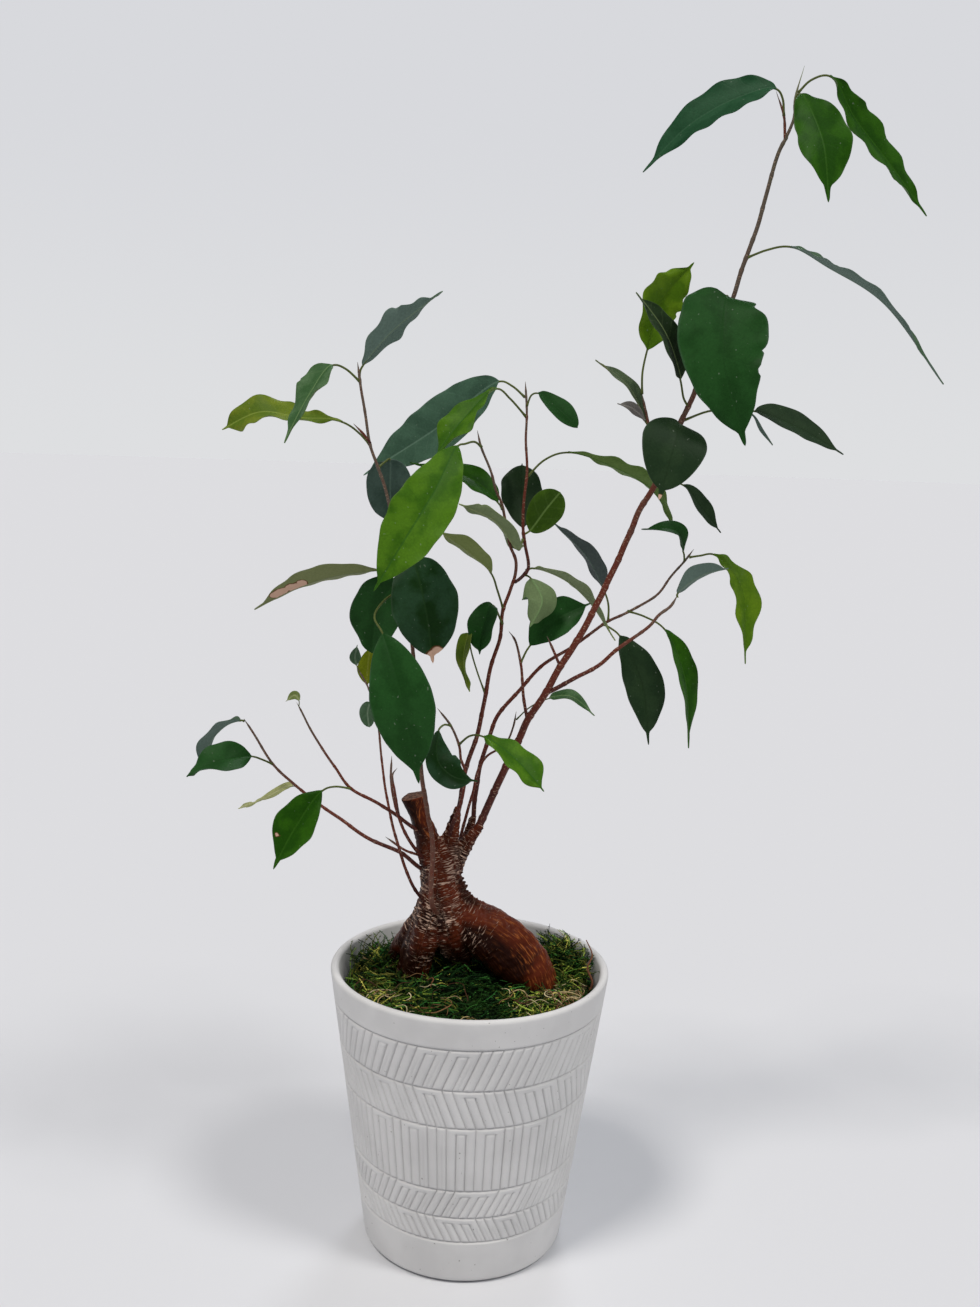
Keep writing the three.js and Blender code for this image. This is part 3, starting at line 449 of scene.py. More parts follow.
                 [(72, 16, 423), (78, 20, 446), (92, 23, 463)], ruffle=2.0, nicks=((0.45, -1, 1.4),)),
            leaf("black", 17, 50, [(89, -5, 397), (86, -8, 401)],
                 [(84, -10, 409), (76, -15, 427), (62, -18, 444)], wide=0.45),
            leaf("worn", 13, 64, [(74, 6, 387)],
                 [(72, 9, 391), (64, 14, 406), (49, 20, 418)]),
            leaf("dry", 6, 40, [(74, 5, 385)],
                 [(71, 5, 391), (65, 3, 396), (58, 0, 398)]),
            leaf("coal", 29, 0, [(84, -6, 386)],
                 [(84, -12, 390), (81, -21, 380), (75, -27, 357)], wide=0.48, blunt=0.58,
                 drip=0.09, fold=0, ruffle=0.0, dead=((0.99, 0.0, 1.6),)),
            leaf("coal", 12, -52, [(76, -8, 364), (83, -6, 364)],
                 [(89, -3, 363), (98, 1, 353), (108, 4, 342)]),
        ],
    },
    "shoot_short_right": {
        "stems": [
            stem(1, 0.5, [(-7, 2, 191), (-5, 4, 201), (-3, 4, 209), (-1, 4, 217), (1, 5, 227),
                          (5, 5, 234), (13, 5, 240), (17, 5, 249), (18, 5, 256)]),
        ],
        "leaves": [
            leaf("grey", 9, -65, [(18, 5, 252), (24, 5, 258)],
                 [(33, 4, 263), (43, 3, 264), (54, 1, 256)], wide=0.45),
        ],
    },
    "shoot_short_front": {
        "stems": [
            stem(1.1, 0.6, [(-11.5, -5, 196), (-10, -9.5, 205), (-6, -11, 217), (-5, -12, 231),
                            (-7, -14, 237), (-8, -15, 244), (-12, -17, 253), (-18, -19, 261)]),
        ],
        "leaves": [
            leaf("bright", 17, -52, [(-8, -15, 244), (-3, -19, 249)],
                 [(3, -24, 250), (18, -31, 241), (30, -36, 229)], wide=0.55, drip=0.05, ruffle=2.0),
            leaf("shade", 17, -40, [(-12, -17, 253), (-15, -21, 254)],
                 [(-17, -24, 252), (-17, -30, 240), (-10, -31, 233), (1, -30, 231)]),
        ],
    },
}


# Curves

# The direction that a tube's rings start from, close to the world's Y, so that no stem runs along it.
AWAY = (0.12, 1.0, 0.05)


def smooth_curve(points, shares):
    """Points of a centripetal Catmull-Rom curve through the given ones: on each stretch a cubic whose end
    slopes follow the neighbours, weighted by the square roots of the distances between the points."""
    given = np.asarray(points, float)
    given = np.vstack([2 * given[0] - given[1], given, 2 * given[-1] - given[-2]])
    stretches = len(given) - 3
    place = np.clip(shares, 0, 1) * stretches
    first = np.minimum(place.astype(int), stretches - 1)
    w = (place - first)[:, None]
    p0, p1, p2, p3 = (given[first + k] for k in range(4))
    d0, d1, d2 = (np.sqrt(np.maximum(np.linalg.norm(b - a, axis=1), 1e-6))[:, None]
                  for a, b in ((p0, p1), (p1, p2), (p2, p3)))
    start = ((p1 - p0) / d0 - (p2 - p0) / (d0 + d1) + (p2 - p1) / d1) * d1
    end = ((p2 - p1) / d1 - (p3 - p1) / (d1 + d2) + (p3 - p2) / d2) * d1
    square = -3 * p1 + 3 * p2 - 2 * start - end
    cube = 2 * p1 - 2 * p2 + start + end
    return p1 + start * w + square * w ** 2 + cube * w ** 3


def unit(vectors):
    """The vectors at length one."""
    return vectors / np.maximum(np.linalg.norm(vectors, axis=-1, keepdims=True), 1e-12)


def circle(count):
    """Even angles round a circle."""
    return np.linspace(0, 2 * np.pi, count, endpoint=False)


def even_curve(points, step):
    """The smooth curve at even steps of length: its points, and the distance of each from the start."""
    fine = smooth_curve(points, np.linspace(0, 1, 40 * len(points)))
    run = np.concatenate([[0], np.cumsum(np.linalg.norm(np.diff(fine[:, :3], axis=0), axis=1))])
    distance = np.linspace(0, run[-1], max(4, int(np.ceil(run[-1] / step)) + 1))
    line = np.stack([np.interp(distance, run, fine[:, k]) for k in range(fine.shape[1])], 1)
    return line, distance


def crossways(line):
    """Directions of a line: along it, and two across it that turn as little as possible, because the first
    is one fixed direction with its part along the line taken away."""
    along = unit(np.gradient(line, axis=0))
    away = np.array(AWAY)
    first = unit(away - (along @ away)[:, None] * along)
    return along, first, np.cross(along, first)


def ripple(points, size, seed):
    """A smooth random value from -1 to 1 at each point: the mean of sine waves of about the given length
    that run in seeded directions."""
    draw = np.random.default_rng(seed)
    runs = unit(draw.normal(size=(7, 3))) * (2 * np.pi / size) * draw.uniform(0.7, 1.4, (7, 1))
    return np.sin(points @ runs.T + draw.uniform(0, 2 * np.pi, 7)).mean(1) * 1.9


def ease(value, low, high):
    """0 below low, 1 above high, and a smooth step between."""
    t = np.clip((value - low) / (high - low), 0, 1)
    return t * t * (3 - 2 * t)


def bell(value, width):
    """1 at zero, falling away on both sides like a bell of the given width."""
    return np.exp(-(value / width) ** 2)


# Meshes

class Surface:
    """Grids of points that are gathered into one mesh, with a slot for each face and marks for each point,
    which are numbers that the materials read."""

    def __init__(self):
        self.points, self.faces, self.slots, self.marks, self.count = [], [], [], {}, 0

    def add(self, points, faces, slot=0, **marks):
        """Adds points in mm and arrays of faces, which hold the numbers of their corners."""
        self.points.append(points)
        for group in faces:
            self.faces.append(group + self.count)
            self.slots.append(np.full(len(group), slot))
        for name, values in marks.items():
            self.marks.setdefault(name, []).append(values)
        self.count += len(points)

    def build(self, name, materials):
        """Makes the mesh and its object."""
        mesh = bpy.data.meshes.new(name)
        points = np.concatenate(self.points) * MM
        sizes = np.concatenate([np.full(len(group), group.shape[1]) for group in self.faces])
        corners = np.concatenate([group.ravel() for group in self.faces])
        mesh.vertices.add(len(points))
        mesh.vertices.foreach_set("co", points.ravel())
        mesh.loops.add(len(corners))
        mesh.loops.foreach_set("vertex_index", corners.astype(np.int32))
        mesh.polygons.add(len(sizes))
        starts = np.concatenate([[0], np.cumsum(sizes)[:-1]])
        mesh.polygons.foreach_set("loop_start", starts.astype(np.int32))
        mesh.polygons.foreach_set("material_index", np.concatenate(self.slots).astype(np.int32))
        for mark, values in self.marks.items():
            set_mark(mesh, mark, np.concatenate(values))
        mesh.update(calc_edges=True)
        mesh.shade_smooth()
        piece = bpy.data.objects.new(name, mesh)
        bpy.context.scene.collection.objects.link(piece)
        for material in materials:
            mesh.materials.append(material)
        return piece


def set_mark(mesh, mark, values):
    """Keeps one number, or three, for each point under a name that the materials read."""
    if values.ndim == 1:
        mesh.attributes.new(mark, "FLOAT", "POINT").data.foreach_set("value", values.astype(np.float32))
    else:
        layer = mesh.attributes.new(mark, "FLOAT_VECTOR", "POINT")
        layer.data.foreach_set("vector", values.astype(np.float32).ravel())


def ring_faces(rows, columns):
    """The four-sided faces between the rings of a grid, whose rings close on themselves."""
    i = np.arange(rows - 1)[:, None] * columns
    j = np.arange(columns)[None, :]
    k = (j + 1) % columns
    return np.stack([i + j, i + k, i + k + columns, i + j + columns], -1).reshape(-1, 4)


def end_faces(rows, columns):
    """The two fans that close a grid's first and last ring, about the two points that follow the rings."""
    j = np.arange(columns)
    k = (j + 1) % columns
    first = np.stack([np.full(columns, rows * columns), k, j], 1)
    last = (rows - 1) * columns
    return np.concatenate([first, np.stack([np.full(columns, rows * columns + 1), last + j, last + k], 1)])


def closed_faces(rows, columns):
    """All faces of a closed grid: those between its rings, and the fans at its two ends."""
    return [ring_faces(rows, columns), end_faces(rows, columns)]


def one_grid(name, material, points, faces, **marks):
    """A piece that is a single grid with a single material."""
    surface = Surface()
    surface.add(points, faces, **marks)
    return surface.build(name, [material])


def tube(line, radius, sides):
    """A round bar along a line: each ring is the line's point plus the radius times the cosine and sine of
    the angle in the two directions across. radius is a number for each ring, or for each ring and side."""
    along, first, second = crossways(line)
    angle = circle(sides)
    reach = np.broadcast_to(np.asarray(radius).reshape(len(line), -1), (len(line), sides))[..., None]
    rings = (line[:, None] + reach * (np.cos(angle)[None, :, None] * first[:, None]
                                      + np.sin(angle)[None, :, None] * second[:, None]))
    points = np.concatenate([rings.reshape(-1, 3), line[:1], line[-1:]])
    return points, closed_faces(len(line), sides)


def settle(piece, node):
    """Lets a finished piece stand for a solid and move with its body."""
    if not piece.data.polygons:
        raise RuntimeError(piece.name + " has no faces")
    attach(piece, BODY)
    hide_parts(node)


# Materials

NOISE = "ShaderNodeTexNoise"
MIX = "ShaderNodeMix"
RANGE = "ShaderNodeMapRange"
MATH = "ShaderNodeMath"
MARK = "ShaderNodeAttribute"
PLACE = "ShaderNodeTexCoord"
BUMP = "ShaderNodeBump"
MAPPING = "ShaderNodeMapping"
SPLIT = "ShaderNodeSeparateXYZ"
VORONOI = "ShaderNodeTexVoronoi"
COLOUR = {"data_type": "RGBA", "output": 2}
SMOOTH = {"interpolation_type": "SMOOTHSTEP"}
TIMES = {"operation": "MULTIPLY"}
TIMES_PLUS = {"operation": "MULTIPLY_ADD"}


def linear(code):
    """An sRGB hex colour as linear red, green, blue and alpha."""
    values = [int(code[i:i + 2], 16) / 255 for i in (1, 3, 5)]
    return tuple(v / 12.92 if v <= 0.04045 else ((v + 0.055) / 1.055) ** 2.4 for v in values) + (1.0,)


def add_node(tree, kind, inputs=None, output=0, **settings):
    """Adds a node, sets its properties, sets or links its inputs, and returns one of its outputs."""
    node = tree.nodes.new(kind)
    for name, value in settings.items():
        setattr(node, name, value)
    for name, value in (inputs or {}).items():
        if isinstance(value, bpy.types.NodeSocket):
            tree.links.new(value, node.inputs[name])
        else:
            node.inputs[name].default_value = value
    return node.outputs[output]


def new_material(name, roughness, ior, **values):
    """A material of one shader, whose plain numbers are set on the shader itself. Returns the material, the
    function that adds a node to its tree, and one that links an output to one of the shader's sockets."""
    material = bpy.data.materials.new(name)
    material.use_nodes = True
    tree = material.node_tree
    shader = tree.nodes["Principled BSDF"]
    shader.inputs["Roughness"].default_value = roughness
    shader.inputs["IOR"].default_value = ior
    for socket, value in values.items():
        shader.inputs[socket.replace("_", " ")].default_value = value

    def link(output, socket):
        tree.links.new(output, shader.inputs[socket])

    return material, partial(add_node, tree), link


def rgba(colour):
    """A colour property with a full alpha."""
    return tuple(colour) + (1.0,)


# The pot

def wall_radius(z):
    """The outside radius of the pot's wall, which tapers evenly from rim to foot."""
    return BASE_RADIUS + (RIM_RADIUS - BASE_RADIUS) * z / POT_HEIGHT


def stroke_shift(z):
    """How far, in mm along the wall, the strokes have leaned by a height: the sum of lean times rise."""
    shift, low = np.zeros_like(z), FIRST_LINE
    for top, lean in BANDS:
        shift = shift + lean * (np.clip(z, low, top) - low)
        low = top
    return shift


def pot_profile(groove_width):
    """Rows of the pot as height and inset from the tapered wall: the underside, a rounded foot, the bands
    with close rows at their lines and at the stroke ends, a rounded lip, the inner wall and the floor."""
    foot = np.linspace(0, np.pi / 2, 7)
    rows = [(0.0, BASE_RADIUS * share) for share in (0.97, 0.7, 0.3, 0.12)]
    rows += [(FOOT_ROUND * (1 - np.cos(a)), FOOT_ROUND * (1 - np.sin(a))) for a in foot]
    lines = [FIRST_LINE] + [top for top, _ in BANDS]
    across = groove_width * np.array([-1.1, -0.6, -0.3, 0, 0.3, 0.6, 1.1])
    for line, following in zip(lines, lines[1:] + [None]):
        rows += [(line + step, 0.0) for step in across]
        if following:
            rows += [(z, 0.0) for z in np.linspace(line + 1.7, following - HAIRPIN - 1.2, 4)]
            rows += [(following - HAIRPIN + step, 0.0) for step in across[1:-1]]
    lip = np.linspace(0, np.pi, 13)
    rows += [(POT_HEIGHT - 8, 0.0), (POT_HEIGHT - 4.5, 0.0)]
    rows += [(POT_HEIGHT - LIP + LIP * np.sin(a), WALL / 2 * (1 - np.cos(a))) for a in lip]
    rows += [(z, WALL) for z in np.linspace(POT_HEIGHT - 6, FLOOR + 3, 7)]
    rows += [(FLOOR + 0.8, WALL + 0.8), (FLOOR, WALL + 3)]
    rows += [(FLOOR, BASE_RADIUS * share) for share in (0.5, 0.97)]
    return np.array(rows)


def stroke_grooves(z, stroke, share, width):
    """Depth of the grooves between the strokes, from 0 to 1, for rows by columns. A groove is a V about
    each stroke's edge. Some pairs of grooves end short of their band's upper line and are joined there, and
    some strokes have a shallow groove down their middle."""
    draw = np.random.default_rng(5)
    strokes = stroke.max() + 1
    pitch = 2 * np.pi * wall_radius(z)[:, None] / strokes
    cut = np.clip(1 - np.minimum(share, 1 - share)[None, :] * pitch / (width / 2), 0, 1)
    middle = np.clip(1 - np.abs(share - 0.5)[None, :] * pitch / (width / 2), 0, 1)
    nearest = np.where(share < 0.5, stroke, (stroke + 1) % strokes)
    depth, low = np.zeros_like(cut), FIRST_LINE
    for top, _ in BANDS:
        joined = draw.random(strokes) < JOINED_SHARE
        joined &= ~np.roll(joined, 1)
        short = joined | np.roll(joined, 1)
        end = np.where(short[nearest], top - HAIRPIN, top)[None, :]
        band = (z[:, None] > low) & (z[:, None] <= top)
        link = np.clip(1 - np.abs(z - (top - HAIRPIN)) / (width / 2), 0, 1)[:, None]
        link = link * joined[stroke][None, :]
        strength = draw.uniform(0.7, 1.0, strokes)[nearest][None, :]
        doubled = (draw.random(strokes) < MIDDLE_SHARE)[stroke] * (z[:, None] <= top - 1.5 * HAIRPIN)
        cuts = np.maximum(cut * (z[:, None] <= end) * strength, MIDDLE_DEPTH * middle * doubled)
        depth = np.where(band, np.maximum(cuts, link * JOINED_DEPTH), depth)
        low = top
    return depth


def make_pot(shape):
    """The pot: the profile turned round the axis. Its outer wall is cut by V grooves, and each column of
    points follows the strokes' lean, so that the groove edges stay crisp."""
    width = shape.groove_width / MM
    profile = pot_profile(width)
    z, inset = profile[:, 0], profile[:, 1]
    share = np.tile(STROKE_STEPS, shape.strokes)
    stroke = np.repeat(np.arange(shape.strokes), len(STROKE_STEPS))
    outer = (inset == 0.0) & (z > FIRST_LINE - 3) & (z < BANDS[-1][0] + 3)
    lines = np.array([FIRST_LINE] + [top for top, _ in BANDS])
    ringed = np.clip(1 - np.abs(z[:, None] - lines).min(1) / (width / 2), 0, 1)
    depth = np.maximum(stroke_grooves(z, stroke, share, width), ringed[:, None]) * outer[:, None]
    radius = wall_radius(z)[:, None] - inset[:, None] - depth * shape.groove_depth / MM
    angle = 2 * np.pi * (stroke + share)[None, :] / shape.strokes
    angle = angle + (stroke_shift(z) / wall_radius(z))[:, None]
    height = np.broadcast_to(z[:, None], radius.shape)
    points = np.stack([radius * np.cos(angle), radius * np.sin(angle), height], -1).reshape(-1, 3)
    points = np.vstack([points, [[0, 0, 0], [0, 0, FLOOR]]])
    groove = np.concatenate([depth.ravel(), [0, 0]])
    faces = closed_faces(*radius.shape)
    return one_grid("pot_stoneware", matt_stoneware(shape), points, faces, groove=groove)


def matt_stoneware(shape):
    """Matt stoneware: cast, washed with a thin white slip and fired without a gloss glaze, so it is pale and
    dull, greyed in the grooves as painted shade, with faint clouds and rare dark iron specks."""
    material, add, link = new_material("matt_stoneware", 0.62, 1.5)
    place = add(PLACE, output="Object")
    clouds, specks, grit = (
        add(NOISE, {"Vector": place, "Scale": 1 / (size * MM), "Detail": detail})
        for size, detail in ((22, 3.0), (1.6, 1.0), (0.5, 2.0)))
    groove = add(MARK, attribute_name="groove", output="Fac")
    cloudy = add(RANGE, {0: clouds, 1: 0.35, 2: 0.65}, **SMOOTH)
    # Painted shade: the grooves are greyed by their depth.
    worn = add(MATH, {0: groove, 1: 0.3}, **TIMES)
    speck = add(RANGE, {0: specks, 1: 0.765, 2: 0.79, 4: 0.6}, **SMOOTH)
    colour = rgba(shape.colour)
    grooves = rgba(shape.groove_shade_colour)
    for share, tint in ((cloudy, linear("#d6d5d4")), (worn, grooves), (speck, linear("#6b6660"))):
        colour = add(MIX, {0: share, 6: colour, 7: tint}, **COLOUR)
    link(colour, "Base Color")
    link(add(RANGE, {0: clouds, 3: 0.56, 4: 0.7}), "Roughness")
    link(add(BUMP, {"Height": grit, "Strength": 0.25, "Distance": 0.12 * MM}), "Normal")
    return material


# Soil and moss

def potting_soil(shape):
    """Peat potting soil: dark crumbs with no shine."""
    material, add, link = new_material("potting_soil", 0.95, 1.4)
    place = add(PLACE, output="Object")
    crumbs = add(VORONOI, {"Vector": place, "Scale": 1 / (2.2 * MM)})
    share = add(RANGE, {0: crumbs, 1: 0.1, 2: 0.7}, **SMOOTH)
    link(add(MIX, {0: share, 6: rgba(shape.soil_colour), 7: linear("#17100b")}, **COLOUR), "Base Color")
    link(add(BUMP, {"Height": crumbs, "Strength": 0.8, "Distance": 0.8 * MM}, invert=True), "Normal")
    return material


def moss_height(x, y):
    """The moss mat's height: its level, a bell-shaped rise for each mound, and low waves."""
    rise = sum(height * np.exp(-((x - cx) ** 2 + (y - cy) ** 2) / (2 * spread ** 2))
               for cx, cy, spread, height in MOSS_MOUNDS)
    lumps = 0.8 * np.sin(x * 0.31 + 1) * np.cos(y * 0.27) + 0.5 * np.sin(x * 0.17 - y * 0.23)
    return MOSS_TOP + rise + lumps


# Columns of the table of points on the limbs' centre lines, and how many points are held against it at once.
CENTRE, RADIUS, ROUGH, RUN, LIMB = slice(0, 3), 3, 4, 5, 6
ALONG, ACROSS, ASIDE = slice(7, 10), slice(10, 13), slice(13, 16)
BLOCK = 4000


def limb_samples():
    """All limbs as one table of points on their centre lines: place, radius, roughness, distance along,
    number of the limb, direction along it and the two directions across."""
    rows = []
    for number, (path, rough) in enumerate(LIMBS.values()):
        line, distance = even_curve(path, 0.8)
        along, first, second = crossways(line[:, :3])
        bark = np.interp(distance / distance[-1], np.linspace(0, 1, len(rough)), rough)
        which = np.full(len(line), number)
        rows.append(np.column_stack([line, bark, distance, which, along, first, second]))
    return np.concatenate(rows)


def nearest_limb(points, samples):
    """For each point the number of the limb sample whose surface is nearest, and the distance to its line as
    a share of its radius, worked out block by block to save memory."""
    best, share = [], []
    for block in np.array_split(points, max(1, len(points) // BLOCK)):
        gap = np.linalg.norm(block[:, None] - samples[None, :, CENTRE], axis=2) / samples[None, :, RADIUS]
        row = gap.argmin(1)
        best.append(row)
        share.append(gap[np.arange(len(block)), row])
    return np.concatenate(best), np.concatenate(share)


def inner_radius(z, clearance):
    """The radius of the pot's inner wall at a height, less a clearance."""
    return wall_radius(z) - WALL - clearance


def dye(code, count):
    """One sRGB hex colour, made linear, for each of so many points."""
    return np.tile(linear(code)[:3], (count, 1))


def make_moss_mat(shape):
    """The mat under the sprigs: rings of points on the moss height plus fine lumps, closed underneath."""
    rings, columns = MAT_RINGS, MAT_COLUMNS
    edge = inner_radius(SOIL_TOP, 0.5)
    radii = edge * np.linspace(1, 0.02, rings) ** 0.9
    angle = circle(columns)
    flat = np.stack([radii[:, None] * np.cos(angle), radii[:, None] * np.sin(angle),
                     np.zeros((rings, columns))], -1).reshape(-1, 3)
    rim = ease(np.hypot(flat[:, 0], flat[:, 1]), edge - 5, edge)
    fine = 0.9 * ripple(flat, 5, 1) + 0.6 * ripple(flat, 2.6, 2)
    height = moss_height(flat[:, 0], flat[:, 1]) - 1.6 + fine - 2.5 * rim
    low = SOIL_TOP + 0.5
    under = np.column_stack([flat[:columns, :2] * 0.995, np.full(columns, low)])
    top = np.column_stack([flat[:, :2], height])
    points = np.vstack([under, top, [[0, 0, low], [0, 0, height[-columns:].mean()]]])
    tone = dye("#131c0a", len(points)) * (1 + 0.35 * ripple(points, 6, 3))[:, None]
    return one_grid("moss_mat", living_moss(shape), points, closed_faces(rings + 1, columns), tone=tone)


def sprig_points(sprigs):
    """The points of all moss sprigs at once: a bent three-sided stalk, and pairs of pointed leaflets, each a
    slim body of four faces whose tip lies outwards and ahead of its foot. The stalk's line runs ahead and
    up, sinks with the square of the distance along it, and sways sideways as a sine."""
    foot, heading, length, lift, bend, twist = sprigs
    count = len(foot)
    up = np.array([0, 0, 1.0])
    ahead = np.stack([np.cos(heading), np.sin(heading), np.zeros(count)], 1)
    sideways = np.stack([-np.sin(heading), np.cos(heading), np.zeros(count)], 1)
    pairs = (np.arange(SPRIG_LEAFLETS // 2) + 0.5) / (SPRIG_LEAFLETS // 2)
    u = np.concatenate([np.linspace(0, 1, SPRIG_RINGS), pairs])
    run = length[:, None] * (u * np.cos(lift)[:, None] + 0.25 * bend[:, None] * u ** 2)
    rise = length[:, None] * (u * np.sin(lift)[:, None] - 0.35 * bend[:, None] * u ** 2)
    sway = length[:, None] * 0.2 * (np.sin(3.5 * u[None] + twist[:, None]) - np.sin(twist)[:, None])
    line = foot[:, None] + run[..., None] * ahead[:, None] + sway[..., None] * sideways[:, None]
    line = line + rise[..., None] * up
    stalk, sites = line[:, :SPRIG_RINGS], line[:, SPRIG_RINGS:]
    thick = SPRIG_RADIUS * (1 - 0.7 * u[:SPRIG_RINGS])[None, :, None]
    corners = [stalk + thick * (np.cos(a) * sideways[:, None] + np.sin(a) * up)
               for a in np.radians((0, 120, 240))]
    parts = [np.stack(corners, 2).reshape(count, -1, 3)]
    for k in range(SPRIG_LEAFLETS):
        root, side = sites[:, k // 2], 1 if k % 2 else -1
        size = ((0.65 + 0.08 * length) * (1.2 - 0.7 * pairs[k // 2]))[:, None]
        out = unit(0.8 * side * sideways + 0.8 * ahead + (0.35 * np.sin(twist * 3 + k))[:, None] * up)
        span = unit(np.cross(out, up)) * LEAFLET_HALF
        parts.append(np.stack([root + span, root - span, root + 0.2 * up, root + out * size], 1))
    return np.concatenate(parts, 1)


def sprig_faces():
    """The faces of one sprig: its stalk's sides and ends, and its leaflets' four faces each."""
    stalk = SPRIG_RINGS * 3
    ends = np.array([[2, 1, 0], [stalk - 3, stalk - 2, stalk - 1]])
    body = np.array([[0, 3, 1], [1, 3, 2], [2, 3, 0], [0, 1, 2]])
    blades = np.concatenate([body + stalk + 4 * k for k in range(SPRIG_LEAFLETS)])
    return ring_faces(SPRIG_RINGS, 3), np.concatenate([ends, blades])


def sunny_share(x, y):
    """How far the moss is bleached at a place: not at all in front of the root, fully at the left and right,
    in patches."""
    patch = ripple(np.column_stack([x, y, 0 * x]), 15, 8)
    return np.clip(ease(np.abs(x + 4), 8, 36) + 0.3 * patch, 0, 1)


def scatter_sprigs(count, draw, sunny):
    """Feet, headings, lengths, lifts, bends and twists of seeded sprigs. They lie on the mat in currents,
    stand up on its back mounds, point inwards near the wall, leave the root free, and keep to the bleached
    places or away from them."""
    edge = inner_radius(SOIL_TOP, 3.0)
    reach, turn = edge * np.sqrt(draw.random(count)), draw.uniform(0, 2 * np.pi, count)
    x, y = reach * np.cos(turn), reach * np.sin(turn)
    raised = draw.random(count) < RAISED_SHARE
    mound = np.array(RAISED_MOUNDS)[draw.choice(len(RAISED_MOUNDS), count, p=RAISED_ODDS)]
    x = np.where(raised, mound[:, 0] + draw.normal(0, 7, count), x)
    y = np.where(raised, mound[:, 1] + draw.normal(0, 10, count), y)
    pull = np.minimum(1, edge / np.maximum(np.hypot(x, y), 1e-6))
    x, y = x * pull, y * pull
    bleached = sunny_share(x, y)
    suited = sunny * bleached + (1 - sunny) * (1 - 0.75 * bleached)
    chosen = draw.random(count) < np.where(raised, 0.5, suited)
    foot = np.column_stack([x, y, moss_height(x, y) - 1.5])
    keep = chosen & (nearest_limb(foot, limb_samples())[1] > 1.02)
    foot, raised = foot[keep], raised[keep]
    kept = len(foot)
    length = draw.uniform(5.0, 12.0, kept) * np.where(raised, RAISED_LENGTH, 1.0)
    outward = np.arctan2(foot[:, 1], foot[:, 0])
    near_wall = np.hypot(foot[:, 0], foot[:, 1]) > edge - 7
    free = 4.5 * ripple(foot, 24, 9) + draw.normal(0, 0.75, kept)
    span = 2 * np.pi - 2 * WALL_TURN
    inward = outward + WALL_TURN + span * (free % (2 * np.pi)) / (2 * np.pi)
    heading = np.where(near_wall, inward, free)
    lift = np.where(raised, draw.uniform(0.7, 1.4, kept), draw.uniform(0.15, 1.0, kept))
    return foot, heading, length, lift, draw.uniform(0.2, 1.1, kept), draw.uniform(0, 2 * np.pi, kept)


def press_inside(points):
    """The points, with those that would pass the pot's inner wall moved back to it along their radius."""
    inner = inner_radius(points[..., 2], 0.2)
    share = np.minimum(1, inner / np.hypot(points[..., 0], points[..., 1]))
    return points * np.stack([share, share, np.ones_like(share)], -1)


def make_sprigs(name, shape, seed, sunny, codes):
    """One crop of moss sprigs, each in one of a few greens, some of them brightened as painted highlights
    and the others dim.
    """
    draw = np.random.default_rng(seed)
    sprigs = scatter_sprigs(shape.sprigs, draw, sunny)
    points = press_inside(sprig_points(sprigs))
    count, each = points.shape[:2]
    start = (np.arange(count) * each)[:, None, None]
    faces = [(part[None] + start).reshape(-1, part.shape[1]) for part in sprig_faces()]
    palette = np.array([linear(code)[:3] for code in codes])
    tone = palette[draw.integers(0, len(codes), count)]
    # Painted highlights: a share of the sprigs is made much brighter than the rest.
    tone = tone * np.where(draw.random(count) < HIGHLIGHT_SHARE, PAINTED_HIGHLIGHT, DIM)[:, None]
    tone = tone * draw.uniform(0.6, 1.3, (count, 1))
    tone = np.repeat(tone, each, axis=0)
    return one_grid(name, living_moss(shape), points.reshape(-1, 3), faces, tone=tone)


def make_strands(shape):
    """Dry strands: thin four-sided bars that lie on the moss in bent, arched lines, more of them in front of
    the root's right end, and one dry shoot that stands near the rim."""
    draw = np.random.default_rng(31)
    surface = Surface()
    edge = inner_radius(SOIL_TOP, 3.5)
    samples = limb_samples()
    u = np.linspace(-0.5, 0.5, STRAND_ROWS)
    for number in range(shape.strands):
        length, bend, curl = draw.uniform(7, 20), draw.uniform(-1.5, 1.5), draw.uniform(0.2, 1.6)
        reach, turn = edge * np.sqrt(draw.random()), draw.uniform(0, 2 * np.pi)
        heading = draw.uniform(0, np.pi)
        middle = np.array([reach * np.cos(turn), reach * np.sin(turn)])
        if number % 3 == 0:
            middle = np.array(STRAND_HEAP) + draw.normal(0, 8, 2)
        swing = heading + bend * u + 0.3 * np.sin(6 * u + number)
        x = middle[0] + length * u * np.cos(swing)
        y = middle[1] + length * u * np.sin(swing)
        pull = np.minimum(1, edge / np.hypot(x, y))
        x, y = x * pull, y * pull
        z = moss_height(x, y) + 2.0 + curl * np.cos(np.pi * u) + 0.25 * np.sin(9 * u)
        line = np.column_stack([x, y, z])
        if nearest_limb(line, samples)[1].min() < 1.05:
            continue
        radius = draw.uniform(0.13, 0.34) * (1 - 0.6 * np.abs(2 * u) ** 3)
        points, faces = tube(line, radius, 4)
        code = STRAND_COLOURS[number % len(STRAND_COLOURS)]
        surface.add(points, faces, tone=dye(code, len(points)) * draw.uniform(0.7, 1.1))
    line = even_curve(DRY_SHOOT, 0.7)[0]
    points, faces = tube(line, np.linspace(0.7, 0.25, len(line)), 6)
    surface.add(points, faces, tone=dye("#7a4b34", len(points)))
    return surface.build("moss_dry_strands", [dry_fibre()])


def living_moss(shape):
    """Living sheet moss: thousands of tiny leaves, so it is dull, and fresher green in some clumps."""
    material, add, link = new_material("living_moss", 0.75, 1.4, Specular_IOR_Level=0.15)
    tone = add(MARK, attribute_name="tone", output="Color")
    place = add(PLACE, output="Object")
    clumps = add(NOISE, {"Vector": place, "Scale": 1 / (9 * MM), "Detail": 3.0})
    share = add(RANGE, {0: clumps, 1: 0.42, 2: 0.66, 4: 0.25}, **SMOOTH)
    link(add(MIX, {0: share, 6: tone, 7: rgba(shape.fresh_colour)}, **COLOUR), "Base Color")
    return material


